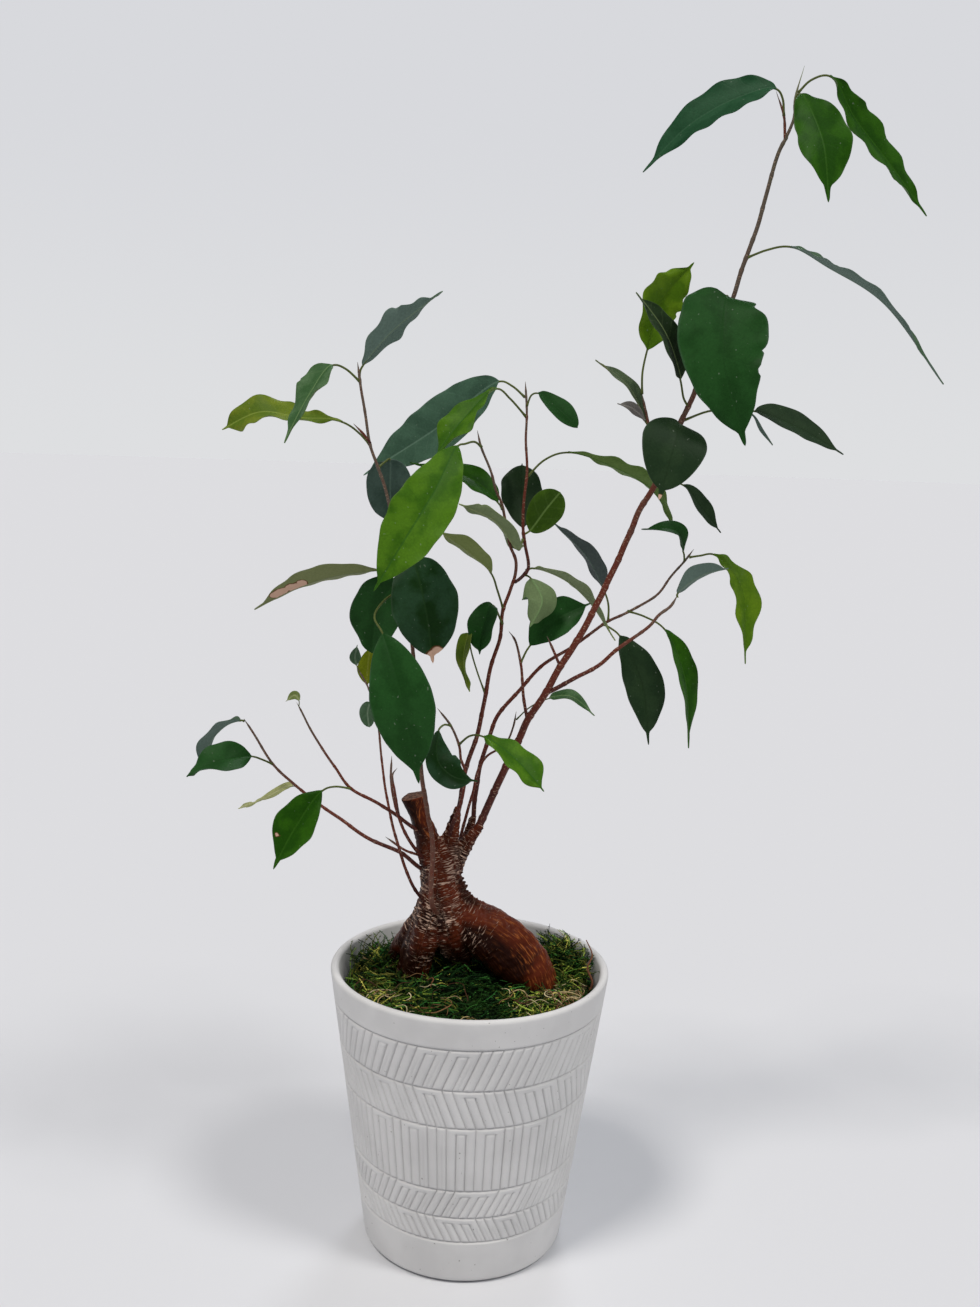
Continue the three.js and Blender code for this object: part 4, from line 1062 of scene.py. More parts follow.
def dry_fibre():
    """Dry moss stalks and plant fibre: straw that has lost its green, dull, with darker spots."""
    material, add, link = new_material("dry_plant_fibre", 0.8, 1.4)
    tone = add(MARK, attribute_name="tone", output="Color")
    place = add(PLACE, output="Object")
    spots = add(NOISE, {"Vector": place, "Scale": 1 / (2 * MM)})
    share = add(RANGE, {0: spots, 1: 0.4, 2: 0.7, 4: 0.4}, **SMOOTH)
    link(add(MIX, {0: share, 6: tone, 7: linear("#4c3a22")}, **COLOUR), "Base Color")
    return material


# The swollen root

def make_root(shape):
    """The root: a tube for each limb, melted into one skin of even cells, then moved along its normals by
    low lumps and by worn cross ridges that run round each limb."""
    limbs = Surface()
    angle = circle(LIMB_SIDES)
    for path, _ in LIMBS.values():
        line, distance = even_curve(path, 1.2)
        swell = 1 + 0.05 * np.sin(3 * angle[None] + 7 * (distance / distance[-1])[:, None])
        limbs.add(*tube(line[:, :3], line[:, 3:4] * swell, len(angle)))
    piece = limbs.build("trunk_limbs", [])
    melt = piece.modifiers.new("melt", "REMESH")
    melt.mode = "VOXEL"
    melt.voxel_size = shape.cell
    soften = piece.modifiers.new("soften", "SMOOTH")
    soften.factor = 0.5
    soften.iterations = 10
    ready = piece.evaluated_get(bpy.context.evaluated_depsgraph_get())
    skin = bpy.data.meshes.new_from_object(ready)
    loose = piece.data
    piece.modifiers.clear()
    piece.data = skin
    bpy.data.meshes.remove(loose)
    piece.name = skin.name = "trunk_bark"
    carve_bark(skin, shape)
    skin.materials.append(ficus_bark(shape))
    skin.materials.append(cut_wood())
    mark_cut_face(skin)
    skin.shade_smooth()
    return piece


def read_points(skin, what):
    """The mesh's points or their normals as rows of three."""
    values = np.empty(len(skin.vertices) * 3, np.float32)
    skin.vertices.foreach_get(what, values)
    return values.reshape(-1, 3).astype(float)


def in_spots(points, spots):
    """How deep each point lies in round spots: the sum of a bell of its distance from each middle."""
    return sum(bell(np.linalg.norm(points - middle, axis=1), spread) for middle, spread in spots)


def carve_bark(skin, shape):
    """Moves the skin along its normals and keeps marks for the bark: where a point is round its limb and
    along it, in metres, how rough the bark is there, whether a ridge or a crust is there, and how much
    painted
    shade it gets: more as the skin looks away from its lit side, and in the painted shadows on the bulb."""
    points, normals = read_points(skin, "co") / MM, read_points(skin, "normal")
    samples = limb_samples()
    near = samples[nearest_limb(points, samples)[0]]
    away = points - near[:, CENTRE]
    along = near[:, RUN] + (away * near[:, ALONG]).sum(1)
    angle = np.arctan2((away * near[:, ASIDE]).sum(1), (away * near[:, ACROSS]).sum(1))
    around = angle * near[:, RADIUS]
    rough = near[:, ROUGH]
    wander = 1.5 * ripple(points, 14, 11) + 0.7 * ripple(points, 5, 12)
    ridges = np.clip(np.sin(2 * np.pi * (along + wander) / RIDGE_SPACING), 0, 1) ** 2
    patch = ripple(np.column_stack([around * 0.8, along * 2.0, near[:, LIMB] * 9]), 5.5, 13)
    ridges = ridges * ease(patch, -0.35, 0.3)
    lumps = LUMP_RISE * ripple(points, 11, 14) + 0.16 * ripple(points, 4, 15)
    crust = in_spots(points, CRUSTS)
    crumbs = np.clip(ripple(points, 2.5, 17) - 0.05, 0, 1) * np.minimum(crust, 1)
    lift = lumps + rough * (RIDGE_RISE * ridges + 0.2 * ripple(points, 1.9, 16)) + CRUMB_RISE * crumbs
    points = points + normals * (lift * shape.relief)[:, None]
    skin.vertices.foreach_set("co", (points * MM).astype(np.float32).ravel())
    skin.update()
    set_mark(skin, "grain", np.column_stack([around * MM, along * MM, near[:, LIMB]]))
    set_mark(skin, "rough", rough)
    set_mark(skin, "ridge", ridges)
    set_mark(skin, "crust", np.minimum(crust, 1))
    # Painted shade: darker where the skin looks down or to the left, away from the lit side, less so on
    # rough bark, and darker still in the painted shadows.
    shade = ease(0.5 - normals @ np.array(LIT_SIDE), 0, 1.1) * (1 - 0.6 * rough)
    set_mark(skin, "damp", np.minimum(shade + 0.7 * in_spots(points, PAINTED_SHADOWS), 1.3))


def mark_cut_face(skin):
    """Gives the flat end of the cut stub its own finish: the faces past the stub's last point that look
    along it."""
    before, tip = (np.array(point[:3]) for point in LIMBS["cut_stub"][0][-2:])
    along = unit(tip - before)
    middle, normal = np.empty(len(skin.polygons) * 3), np.empty(len(skin.polygons) * 3)
    skin.polygons.foreach_get("center", middle)
    skin.polygons.foreach_get("normal", normal)
    past = (middle.reshape(-1, 3) / MM - tip) @ along
    cut = (past > -1.2) & (normal.reshape(-1, 3) @ along > 0.75)
    skin.polygons.foreach_set("material_index", cut.astype(np.int32))


def ficus_bark(shape):
    """Ficus bark on a swollen root: thin and tight, dark red-brown with warm streaks along it where it is
    stretched and out of the painted shade, nearly black in patches and where shade is painted on, with pale
    corky ridges across it that are broken into short dashes and stand a little proud, and blackish where
    crusts of dead bark sit."""
    material, add, link = new_material("ficus_bark", 0.38, 1.45, Specular_IOR_Level=0.1)
    grain = add(MARK, attribute_name="grain", output="Vector")
    rough, ridge, crust, damp = (add(MARK, attribute_name=mark, output="Fac")
                                 for mark in ("rough", "ridge", "crust", "damp"))
    place = add(PLACE, output="Object")
    # A ridge is some 5 mm long and 0.5 mm high, so the noise cell is stretched round the limb.
    wide = add(MAPPING, {"Vector": grain, "Scale": (1 / (4.6 * MM), 1 / (0.62 * MM), 7)})
    dashes = add(NOISE, {"Vector": wide, "Scale": 1.0, "Detail": 2.0, "Distortion": 0.9})
    long = add(MAPPING, {"Vector": grain, "Scale": (1 / (0.8 * MM), 1 / (5 * MM), 7)})
    streaks = add(NOISE, {"Vector": long, "Scale": 1.0, "Detail": 3.0, "Distortion": 0.2})
    patches = add(NOISE, {"Vector": place, "Scale": 1 / (12 * MM), "Detail": 4.0})
    pores = add(NOISE, {"Vector": place, "Scale": 1 / (1.1 * MM), "Detail": 3.0})
    # Painted shade, together with random darker patches, turns the bark towards the dark colour.
    shade_and_patches = add(MATH, {0: damp, 1: 0.5, 2: patches}, **TIMES_PLUS)
    share = add(RANGE, {0: shade_and_patches, 1: 0.36, 2: 0.84}, **SMOOTH)
    colour = add(MIX, {0: share, 6: rgba(shape.bark_colour), 7: rgba(shape.shade_and_patch_colour)}, **COLOUR)
    smooth = add(RANGE, {0: rough, 1: 0.1, 2: 0.6, 3: 0.75, 4: 0.15}, **SMOOTH)
    # The warm streaks are kept out of the painted shade, so they brighten only the lit side.
    dry = add(RANGE, {0: damp, 1: 0.15, 2: 0.7, 3: 1.0, 4: 0.15}, **SMOOTH)
    warm = add(RANGE, {0: streaks, 1: 0.5, 2: 0.7}, **SMOOTH)
    for limit in (smooth, dry):
        warm = add(MATH, {0: warm, 1: limit}, **TIMES)
    colour = add(MIX, {0: warm, 6: colour, 7: rgba(shape.warm_colour)}, **COLOUR)
    worn = dashes
    for part, weight in ((ridge, 0.06), (patches, 0.22), (rough, 0.14)):
        worn = add(MATH, {0: part, 1: weight, 2: worn}, **TIMES_PLUS)
    dash = add(RANGE, {0: worn, 1: 0.78, 2: 0.9}, **SMOOTH)
    held = add(RANGE, {0: rough, 1: 0.05, 2: 0.5}, **SMOOTH)
    dash = add(MATH, {0: dash, 1: held}, **TIMES)
    shown = add(MATH, {0: dash, 1: 0.9}, **TIMES)
    colour = add(MIX, {0: shown, 6: colour, 7: rgba(shape.ridge_colour)}, **COLOUR)
    dull = add(RANGE, {0: crust, 1: 0.25, 2: 0.8, 4: 0.75}, **SMOOTH)
    link(add(MIX, {0: dull, 6: colour, 7: linear("#2a130c")}, **COLOUR), "Base Color")
    link(add(RANGE, {0: dash, 3: 0.38, 4: 0.7}), "Roughness")
    height = add(MATH, {0: pores, 1: 0.5, 2: dash}, **TIMES_PLUS)
    height = add(MATH, {0: streaks, 1: 0.8, 2: height}, **TIMES_PLUS)
    link(add(BUMP, {"Height": height, "Strength": 0.8, "Distance": 0.4 * MM}), "Normal")
    return material


def cut_wood():
    """Weathered cut wood: an old pruning cut, grey-brown, with darker fibre, dry and dull."""
    material, add, link = new_material("weathered_cut_wood", 0.85, 1.45, Specular_IOR_Level=0.3)
    place = add(PLACE, output="Object")
    fibre = add(NOISE, {"Vector": place, "Scale": 1 / (1.2 * MM), "Detail": 4.0})
    share = add(RANGE, {0: fibre, 1: 0.35, 2: 0.65}, **SMOOTH)
    link(add(MIX, {0: share, 6: linear("#6a4c3b"), 7: linear("#33201a")}, **COLOUR), "Base Color")
    link(add(BUMP, {"Height": fibre, "Strength": 0.8, "Distance": 0.4 * MM}), "Normal")
    return material


# Leaves and stems

def half_width(one, t):
    """Half the blade's width in mm along it: a sine of the length, bent so that its top stands where the
    blade is widest and raised to a power that fills it out. Where it has a drip tip, it closes early, and a
    narrow tongue that thins to the end is added as the other side of a right angle. The end is rounded."""
    power = np.log(0.5) / np.log(one["wide"])
    body = np.clip(np.sin(np.pi * np.minimum(1, t / (1 - one["drip"])) ** power), 0, 1) ** one["blunt"]
    tongue = (0.016 + 3.6 * one["drip"] * (1 - t)) * ease(t, 0.5, 0.85) * (one["drip"] > 0)
    rounded = np.sqrt(1 - np.clip((t - 0.97) / 0.03, 0, 1) ** 2)
    return np.maximum(one["width"] * np.hypot(0.5 * body, tongue) * rounded, 0.6 - 0.5 * t)


def margin_share(one, t, length, number):
    """The uneven outline as two factors along the blade, one for each side: 1 plus a seeded ripple of the
    length, which dies out at the foot and the tip."""
    for side in (0.0, 1.0):
        place = np.column_stack([t * length, np.full_like(t, 30 * side), np.full_like(t, 9 * number)])
        uneven = UNEVEN * one["ruffle"] * ease(t, 0, 0.15) * ease(1 - t, 0, 0.14)
        yield 1 + uneven * ripple(place, 9, 40 + number)


def blade_frame(line, u, turn):
    """Points and directions on a leaf's centre line: along, sideways, and out of the upper face. The blade
    is turned about its midrib from facing the front, by an angle in degrees for each point."""
    centre = smooth_curve(line, u)
    along = unit(smooth_curve(line, u + 2e-3) - smooth_curve(line, u - 2e-3))
    level = unit(np.cross(along, [0, 1, 0]))
    front = np.cross(along, level)
    turn = np.radians(turn)[:, None]
    side = level * np.cos(turn) + front * np.sin(turn)
    return centre, along, side, np.cross(along, side)


def blade_columns():
    """A blade's columns of points: the place of each across, from 1 at one margin to -1 at the other and
    back underneath, and its face, 1 above and -1 below."""
    upper = np.concatenate([BLADE_COLUMNS, -np.array(BLADE_COLUMNS[-2::-1])])
    return np.concatenate([upper, upper[::-1]]), np.repeat([1.0, -1.0], len(upper))


def blade_reach(one, t, s, length, number):
    """Half the blade's width for each station and column: the outline on that side, less the nicks, each a
    bell-shaped dent in one margin."""
    left, right = margin_share(one, t, length, number)
    half = half_width(one, t)[:, None] * np.where(s > 0, left[:, None], right[:, None])
    for place, edge, size in one["nicks"]:
        dent = size * bell((t - place) * length, size * 0.8)[:, None] * (np.sign(s) == edge)
        half = half - np.minimum(dent, 0.7 * half)
    return half


def blade_lift(one, t, s, across, length, number):
    """How far the blade's middle stands above its midrib: the fold, which rises evenly to both sides, and a
    long wave and a short curl of the margin, sines of the length that die out at the foot and the tip."""
    wave = np.sin(2.6 * np.pi * t + 1.7 * s + number) * one["width"] * WAVE
    curl = np.sin(2 * np.pi * length / CURL_LENGTH * t + 2.4 * s + 2 * number) * one["width"] * CURL
    calm = one["ruffle"] * ease(t, 0, 0.1) * ease(1 - t, 0, 0.14)
    return np.abs(across) * np.sin(np.radians(one["fold"])) + (s ** 2 * wave + s ** 4 * curl) * calm


def dry_tissue(one, t, across, length):
    """How deep each point lies in a patch of dry tissue: 1.5 in its middle, falling evenly to 0.5 at its
    size and to 0 beyond."""
    dead = np.zeros_like(across)
    for place, where, size in one["dead"]:
        gap = np.hypot((t - place) * length, across - where * 0.5 * one["width"])
        dead = np.maximum(dead, 1.5 - gap / size)
    return dead


def add_leaf(surface, one, number, shape):
    """A leaf: a thin closed blade, which is a grid of stations along the midrib by columns across the upper
    face and back across the under face. It is folded up from its midrib, its margin waves up and down, the
    midrib is sunk above and stands out below. Its stalk is a bar that ends under the blade."""
    line = one["stalk"] + one["rib"]
    foot = len(one["stalk"]) / (len(line) - 1)
    k = np.linspace(0, 1, BLADE_ROWS)
    t = 0.4 * k + 0.6 * (0.5 - 0.5 * np.cos(np.pi * k))
    centre, along, side, upper = blade_frame(line, foot + (1 - foot) * t, one["turn"] + one["twist"] * t)
    length = np.linalg.norm(np.diff(centre, axis=0), axis=1).sum()
    s, face = blade_columns()
    across = s * blade_reach(one, t, s, length, number)
    t = t[:, None]
    lift = blade_lift(one, t, s, across, length, number)
    rib = bell(across, RIB_WIDTH) * (1 - 0.6 * t)
    thick = shape.thickness / MM / 2 * (1 - 0.6 * s ** 6)
    lift = lift + np.where(face > 0, thick - RIB_SUNK * rib, -thick - RIB_PROUD * rib)
    points = (centre[:, None] + (across * np.cos(np.radians(one["fold"])))[..., None] * side[:, None]
              + lift[..., None] * upper[:, None]).reshape(-1, 3)
    points = np.vstack([points, centre[:1], centre[-1:] + 0.3 * along[-1:]])
    dead = dry_tissue(one, t, across, length)
    blade = np.stack(np.broadcast_arrays(across * MM, t * length * MM, face), -1).reshape(-1, 3)
    marks = {
        "blade": np.vstack([blade, [[0, 0, 1], [0, length * MM, 1]]]),
        "dead": np.concatenate([dead.ravel(), [0, dead[-1].mean()]]),
        "edge": np.concatenate([np.broadcast_to(np.abs(s), across.shape).ravel(), [0, 0.5]]),
    }
    for mark, code in zip(("tone", "tone_two", "rib", "under"), LOOKS[one["look"]]):
        marks[mark] = dye(code, len(points))
    surface.add(points, closed_faces(*across.shape), **marks)
    add_stalk(surface, one, line, foot, upper[0])


def add_stalk(surface, one, line, foot, upper):
    """A leaf's stalk: a round bar from the stem to a little way under the blade, thicker at its foot."""
    u = np.linspace(0, foot + (1 - foot) * 0.12, STALK_ROWS)
    centre = smooth_curve(line, u) - 0.25 * upper * ease(u, 0.6 * foot, foot)[:, None]
    radius = np.interp(u, [0, 0.15 * foot, foot, u[-1]], [0.72, 0.5, 0.44, 0.2]) * min(1, one["width"] / 14)
    points, faces = tube(centre, np.maximum(radius, 0.22), STALK_SIDES)
    tone = dye(STALK_COLOUR, len(points))
    blank = np.zeros(len(points))
    blade = np.column_stack([blank + 3 * MM, blank, blank + 1])
    surface.add(points, faces, blade=blade, dead=blank, edge=blank, tone=tone, tone_two=tone * 0.8, rib=tone,
                under=tone)


def add_stem(surface, one, feet, number):
    """A stem: a round bar that thins from foot to end, with a swelling and a ring scar at each leaf's foot
    and at seeded places between, a little wobble, and a pointed end bud."""
    draw = np.random.default_rng(100 + number)
    line, distance = even_curve(one["path"], 0.6)
    length = distance[-1]
    sway = np.stack([ripple(line, 17, number + seed) for seed in (0, 50, 90)], 1)
    line = line + 0.12 * ease(distance, 0, 6)[:, None] * sway
    nodes = [distance[np.linalg.norm(line - foot, axis=1).argmin()] for foot in feet
             if np.linalg.norm(line - foot, axis=1).min() < 2.5]
    nodes += list(np.arange(draw.uniform(5, 12), length - 2, draw.uniform(9, 15)))
    start, end = one["radii"]
    radius = STEM_SHARE * (start + (end - start) * distance / length)
    for place in nodes:
        past = distance - place
        radius = radius * (1 + NODE_SWELL * bell(past, 1.0) - SCAR_DEPTH * bell(past - 1.5, 0.4))
    taper = np.clip((distance - length + one["bud"]) / one["bud"], 0, 1)
    radius = radius * (1 - 0.85 * taper ** 0.8)
    angle = circle(STEM_SIDES)
    rough = 1 + 0.03 * np.sin(3 * angle[None] + distance[:, None] * 0.4 + number)
    rough = rough + 0.015 * np.sin(distance[:, None] * 5.1 + 2 * np.sin(2 * angle[None] + number))
    points, faces = tube(line, radius[:, None] * rough, STEM_SIDES)
    age = one["age"][0] + (one["age"][1] - one["age"][0]) * distance / length
    around = angle[None] * radius[:, None] * MM
    grain = np.stack(np.broadcast_arrays(around, distance[:, None] * MM, number), -1)
    grain = np.vstack([grain.reshape(-1, 3), [[0, 0, number], [0, length * MM, number]]])
    age = np.concatenate([np.repeat(age, STEM_SIDES), one["age"]])
    surface.add(points, faces, slot=1, age=age, grain=grain)


def make_shoot(name, shape, stem_shape):
    """One leafy shoot: its stems and its leaves in one mesh, with a finish for each."""
    parts = SHOOTS[name]
    leaves, stems = Surface(), Surface()
    first = sum(ord(letter) for letter in name)
    feet = [np.array(one["stalk"][0], float) for one in parts["leaves"]]
    for number, one in enumerate(parts["stems"]):
        add_stem(stems, one, feet, first + number)
    for number, one in enumerate(parts["leaves"]):
        add_leaf(leaves, one, number, shape)
    both = Surface()
    for part in (leaves, stems):
        both.points += part.points
        both.faces += [group + both.count for group in part.faces]
        both.slots += part.slots
        both.count += part.count
    for mark, values in {**leaves.marks, **stems.marks}.items():
        filled = np.concatenate(values)
        blank = np.zeros((both.count - len(filled),) + filled.shape[1:])
        both.marks[mark] = [filled, blank] if mark in leaves.marks else [blank, filled]
    return both.build(name + "_grown", [ficus_leaf(shape), young_bark(stem_shape)])


def ficus_leaf(shape):
    """Ficus leaves: leathery blades under a smooth skin of wax, so the upper face is dark with a soft wide
    gloss, and the under face paler and dull. Fine side veins leave the midrib every few millimetres, and old
    damage has dried to tan patches with a brown edge."""
    material, add, link = new_material("ficus_leaf", 0.45, 1.45, Specular_IOR_Level=0.08)
    blade = add(MARK, attribute_name="blade", output="Vector")
    tone, second, rib, under = (add(MARK, attribute_name=mark, output="Color")
                                for mark in ("tone", "tone_two", "rib", "under"))
    dead, edge = (add(MARK, attribute_name=mark, output="Fac") for mark in ("dead", "edge"))
    place = add(PLACE, output="Object")
    split = add(SPLIT, {0: blade}).node.outputs
    across = add(MATH, {0: split[0]}, operation="ABSOLUTE")
    face = add(RANGE, {0: split[2], 1: -0.4, 2: 0.4})
    # The specks are dried drops of hard water, about 0.5 mm wide.
    clouds, grain, specks = (
        add(NOISE, {"Vector": place, "Scale": 1 / (size * MM), "Detail": detail})
        for size, detail in ((9, 3.0), (0.9, 2.0), (1.2, 0.0)))
    # Side veins leave the midrib at about 55 degrees and bend a little with the clouds.
    bent = add(MATH, {0: clouds, 1: 5 * MM, 2: split[1]}, **TIMES_PLUS)
    slant = add(MATH, {0: across, 1: -0.7, 2: bent}, **TIMES_PLUS)
    step = add(MATH, {0: slant, 1: shape.vein_spacing}, operation="DIVIDE")
    swing = add(MATH, {0: step, 1: 1.0}, operation="PINGPONG")
    vein = add(RANGE, {0: swing, 1: 0.8, 2: 1.0}, **SMOOTH)
    middle = add(RANGE, {0: across, 1: 0.6 * MM, 2: 0.2 * MM}, **SMOOTH)
    band = add(RANGE, {0: across, 1: 7 * MM, 2: 1 * MM, 4: 0.16}, **SMOOTH)
    shifted = add(MATH, {0: clouds, 1: band}, operation="ADD")
    share = add(RANGE, {0: shifted, 1: 0.44, 2: 0.72}, **SMOOTH)
    faint = add(MATH, {0: vein, 1: 0.1}, **TIMES)
    strong = add(MATH, {0: middle, 1: 0.7}, **TIMES)
    rim = add(RANGE, {0: edge, 1: 0.93, 2: 1.0, 4: 0.3}, **SMOOTH)
    dust = add(RANGE, {0: specks, 1: 0.8, 2: 0.85, 4: 0.24}, **SMOOTH)
    chalk = linear("#9aa494")
    top, low = tone, under
    for part, tint in ((share, second), (faint, rib), (strong, rib), (rim, under), (dust, chalk)):
        top = add(MIX, {0: part, 6: top, 7: tint}, **COLOUR)
    for part in (faint, strong):
        low = add(MIX, {0: part, 6: low, 7: rib}, **COLOUR)
    both = add(MIX, {0: face, 6: low, 7: top}, **COLOUR)
    shaded = add(RANGE, {0: grain, 1: 0.3, 2: 0.7, 3: 0.9, 4: 1.1})
    both = add("ShaderNodeVectorMath", {0: both, 3: shaded}, operation="SCALE")
    worn = add(MATH, {0: clouds, 1: 1.6, 2: dead}, **TIMES_PLUS)
    browned = add(RANGE, {0: worn, 1: 1.22, 2: 1.32}, **SMOOTH)
    dried = add(RANGE, {0: worn, 1: 1.36, 2: 1.5}, **SMOOTH)
    both = add(MIX, {0: browned, 6: both, 7: linear("#5a3a20")}, **COLOUR)
    both = add(MIX, {0: dried, 6: both, 7: rgba(shape.dead_colour)}, **COLOUR)
    link(both, "Base Color")
    gloss = add(RANGE, {0: face, 3: 0.6, 4: shape.roughness})
    link(add(MIX, {0: browned, 2: gloss, 3: 0.85}), "Roughness")
    height = add(MATH, {0: vein, 1: -0.6, 2: grain}, **TIMES_PLUS)
    link(add(BUMP, {"Height": height, "Strength": 0.3, "Distance": 0.1 * MM}), "Normal")
    return material


def young_bark(shape):
    """Young ficus bark: green-grey at the soft tips, grey-brown behind them, and dark red-brown where the
    stem is old, satin, with pale breathing pores drawn out across the stem."""
    material, add, link = new_material("young_ficus_bark", 0.5, 1.45, Specular_IOR_Level=0.25)
    age = add(MARK, attribute_name="age", output="Fac")
    grain = add(MARK, attribute_name="grain", output="Vector")
    place = add(PLACE, output="Object")
    clouds = add(NOISE, {"Vector": place, "Scale": 1 / (4 * MM), "Detail": 3.0})
    # A pore is about 0.8 mm wide and 0.3 mm high, drawn a little coarser so that it shows.
    fine = add(MAPPING, {"Vector": grain, "Scale": (1 / (1.3 * MM), 1 / (0.8 * MM), 7)})
    pores = add(NOISE, {"Vector": fine, "Scale": 1.0, "Detail": 1.0})
    shifted = add(MATH, {0: clouds, 1: 0.35, 2: age}, **TIMES_PLUS)
    shifted = add(MATH, {0: shifted, 1: 0.175}, operation="SUBTRACT")
    colour = rgba(shape.soft_colour)
    for start, older in ((0.0, shape.grey_colour), (0.35, shape.red_colour), (0.7, shape.old_colour)):
        share = add(RANGE, {0: shifted, 1: start, 2: start + 0.35}, **SMOOTH)
        colour = add(MIX, {0: share, 6: colour, 7: rgba(older)}, **COLOUR)
    pore = add(RANGE, {0: pores, 1: 0.6, 2: 0.68, 4: 0.6}, **SMOOTH)
    link(add(MIX, {0: pore, 6: colour, 7: linear("#a58a72")}, **COLOUR), "Base Color")
    link(add(RANGE, {0: clouds, 3: 0.42, 4: 0.65}), "Roughness")
    link(add(BUMP, {"Height": pores, "Strength": 0.5, "Distance": 0.2 * MM}), "Normal")
    return material


# The stage

def look_directions():
    """The camera's right, up and ahead directions from its pitch, yaw and roll."""
    ahead = np.array([np.sin(CAMERA_YAW) * np.cos(CAMERA_PITCH), np.cos(CAMERA_YAW) * np.cos(CAMERA_PITCH),
                      -np.sin(CAMERA_PITCH)])
    level = np.array([np.cos(CAMERA_YAW), -np.sin(CAMERA_YAW), 0])
    down = np.cross(ahead, level)
    right = np.cos(CAMERA_ROLL) * level + np.sin(CAMERA_ROLL) * down
    up = np.sin(CAMERA_ROLL) * level - np.cos(CAMERA_ROLL) * down
    return right, up, ahead


def add_camera():
    """The camera where the photograph was taken from, with the photograph's field of view."""
    lens = bpy.data.cameras.new("photo_camera")
    lens.sensor_width = SENSOR
    lens.lens = SENSOR * FOCAL_PIXELS / FRAME_HEIGHT
    camera = bpy.data.objects.new("photo_camera", lens)
    right, up, ahead = look_directions()
    turned = np.eye(4)
    turned[:3, 0], turned[:3, 1], turned[:3, 2] = right, up, -ahead
    turned[:3, 3] = np.array(CAMERA_PLACE) * MM
    camera.matrix_world = Matrix(turned.tolist())
    bpy.context.scene.collection.objects.link(camera)
    bpy.context.scene.camera = camera


def add_lamp(name, place, strength, softness, colour):
    """A far soft lamp that shines from a direction to the object. Softness is its width in the sky."""
    lamp = bpy.data.lights.new(name, "SUN")
    lamp.energy = strength
    lamp.angle = softness
    lamp.color = linear(colour)[:3]
    light = bpy.data.objects.new(name, lamp)
    light.location = place
    light.rotation_euler = Vector(place).to_track_quat("Z", "Y").to_euler()
    bpy.context.scene.collection.objects.link(light)


def make_floor(shape):
    """A pale studio floor: a wide flat disc just under the pot."""
    rim = circle(STAGE_SIDES)
    ring = np.column_stack([np.cos(rim), np.sin(rim), np.zeros(STAGE_SIDES)])
    points = np.vstack([ring * reach for reach in STAGE_RINGS] + [np.zeros(3)]) - [0, 0, STAGE_DROP]
    j = np.arange(STAGE_SIDES)
    centre = np.stack([np.full(STAGE_SIDES, len(points) - 1), j, (j + 1) % STAGE_SIDES], 1)
    surface = Surface()
    surface.add(points, [ring_faces(len(STAGE_RINGS), STAGE_SIDES)[:, ::-1], centre])
    surface.build("studio_floor", [painted_board(shape)])


def painted_board(shape):
    """Matt painted board: even, pale and without shine."""
    return new_material("matt_painted_board", 0.9, 1.45, Specular_IOR_Level=0.0,
                        Base_Color=rgba(shape.floor_colour))[0]


def add_surround(shape):
    """A pale backdrop that is paler near the floor, and a weaker even light that fills the shadows. Colours
    are shown as they are, without a film curve."""
    world = bpy.data.worlds.new("studio_surround")
    world.use_nodes = True
    tree = world.node_tree
    seen = add_node(tree, "ShaderNodeLightPath", output="Is Camera Ray")
    sky = add_node(tree, PLACE, output="Generated")
    height = add_node(tree, SPLIT, {0: sky}, output=2)
    rise = add_node(tree, RANGE, {0: height, 1: -0.02, 2: 0.25}, **SMOOTH)
    wall = add_node(tree, MIX, {0: rise, 6: rgba(shape.floor_glow), 7: rgba(shape.wall_colour)}, **COLOUR)
    light = add_node(tree, MIX, {0: seen, 6: rgba(shape.fill_colour), 7: wall}, **COLOUR)
    strength = add_node(tree, RANGE, {0: seen, 3: shape.fill, 4: 1.0})
    ground = tree.nodes["Background"]
    tree.links.new(light, ground.inputs["Color"])
    tree.links.new(strength, ground.inputs["Strength"])
    bpy.context.scene.world = world
    bpy.context.scene.view_settings.view_transform = "Standard"


# What a user can change

def colour_choice(name, description, code):
    """A colour property with an sRGB hex default."""
    return FloatVectorProperty(name=name, description=description, subtype="COLOR", size=3, min=0.0, max=1.0,
                               default=linear(code)[:3])


def number_choice(name, description, default, **settings):
    """A number property that is never below zero."""
    return FloatProperty(name=name, description=description, default=default, min=0.0, **settings)


def length_choice(name, description, millimetres):
    """A length property with a default in millimetres."""
    return number_choice(name, description, millimetres * MM, precision=5, subtype="DISTANCE", unit="LENGTH")


def count_choice(name, description, default, least):
    """A whole number property with its default and the least that it may be."""
    return IntProperty(name=name, description=description, default=default, min=least)


class PotChoices(bpy.types.PropertyGroup):
    """Sizes and colours of the pot."""
    strokes: count_choice("Strokes", "Strokes round each band", 84, 12)
    groove_width: length_choice("Groove width", "Width of the grooves in the wall", 1.3)
    groove_depth: length_choice("Groove depth", "Depth of the grooves in the wall", 0.85)
    colour: colour_choice("Stoneware", "Colour of the pot's wall", "#cecdcc")
    # The grooves' grey colour is painted shade.
    groove_shade_colour: colour_choice("Grooves", "Colour deep in the grooves", "#a19f9d")


class MossChoices(bpy.types.PropertyGroup):
    """Amounts and colours of the moss and the soil."""
    sprigs: count_choice("Sprigs", "Sprigs tried for each crop, before those inside the root are left out",
                         3800, 10)
    strands: count_choice("Dry strands", "Dry strands that lie on the moss", 150, 1)
    fresh_colour: colour_choice("Fresh moss", "Colour of the freshest clumps", "#3c6a20")
    soil_colour: colour_choice("Soil", "Colour of the potting soil", "#3a2a1e")


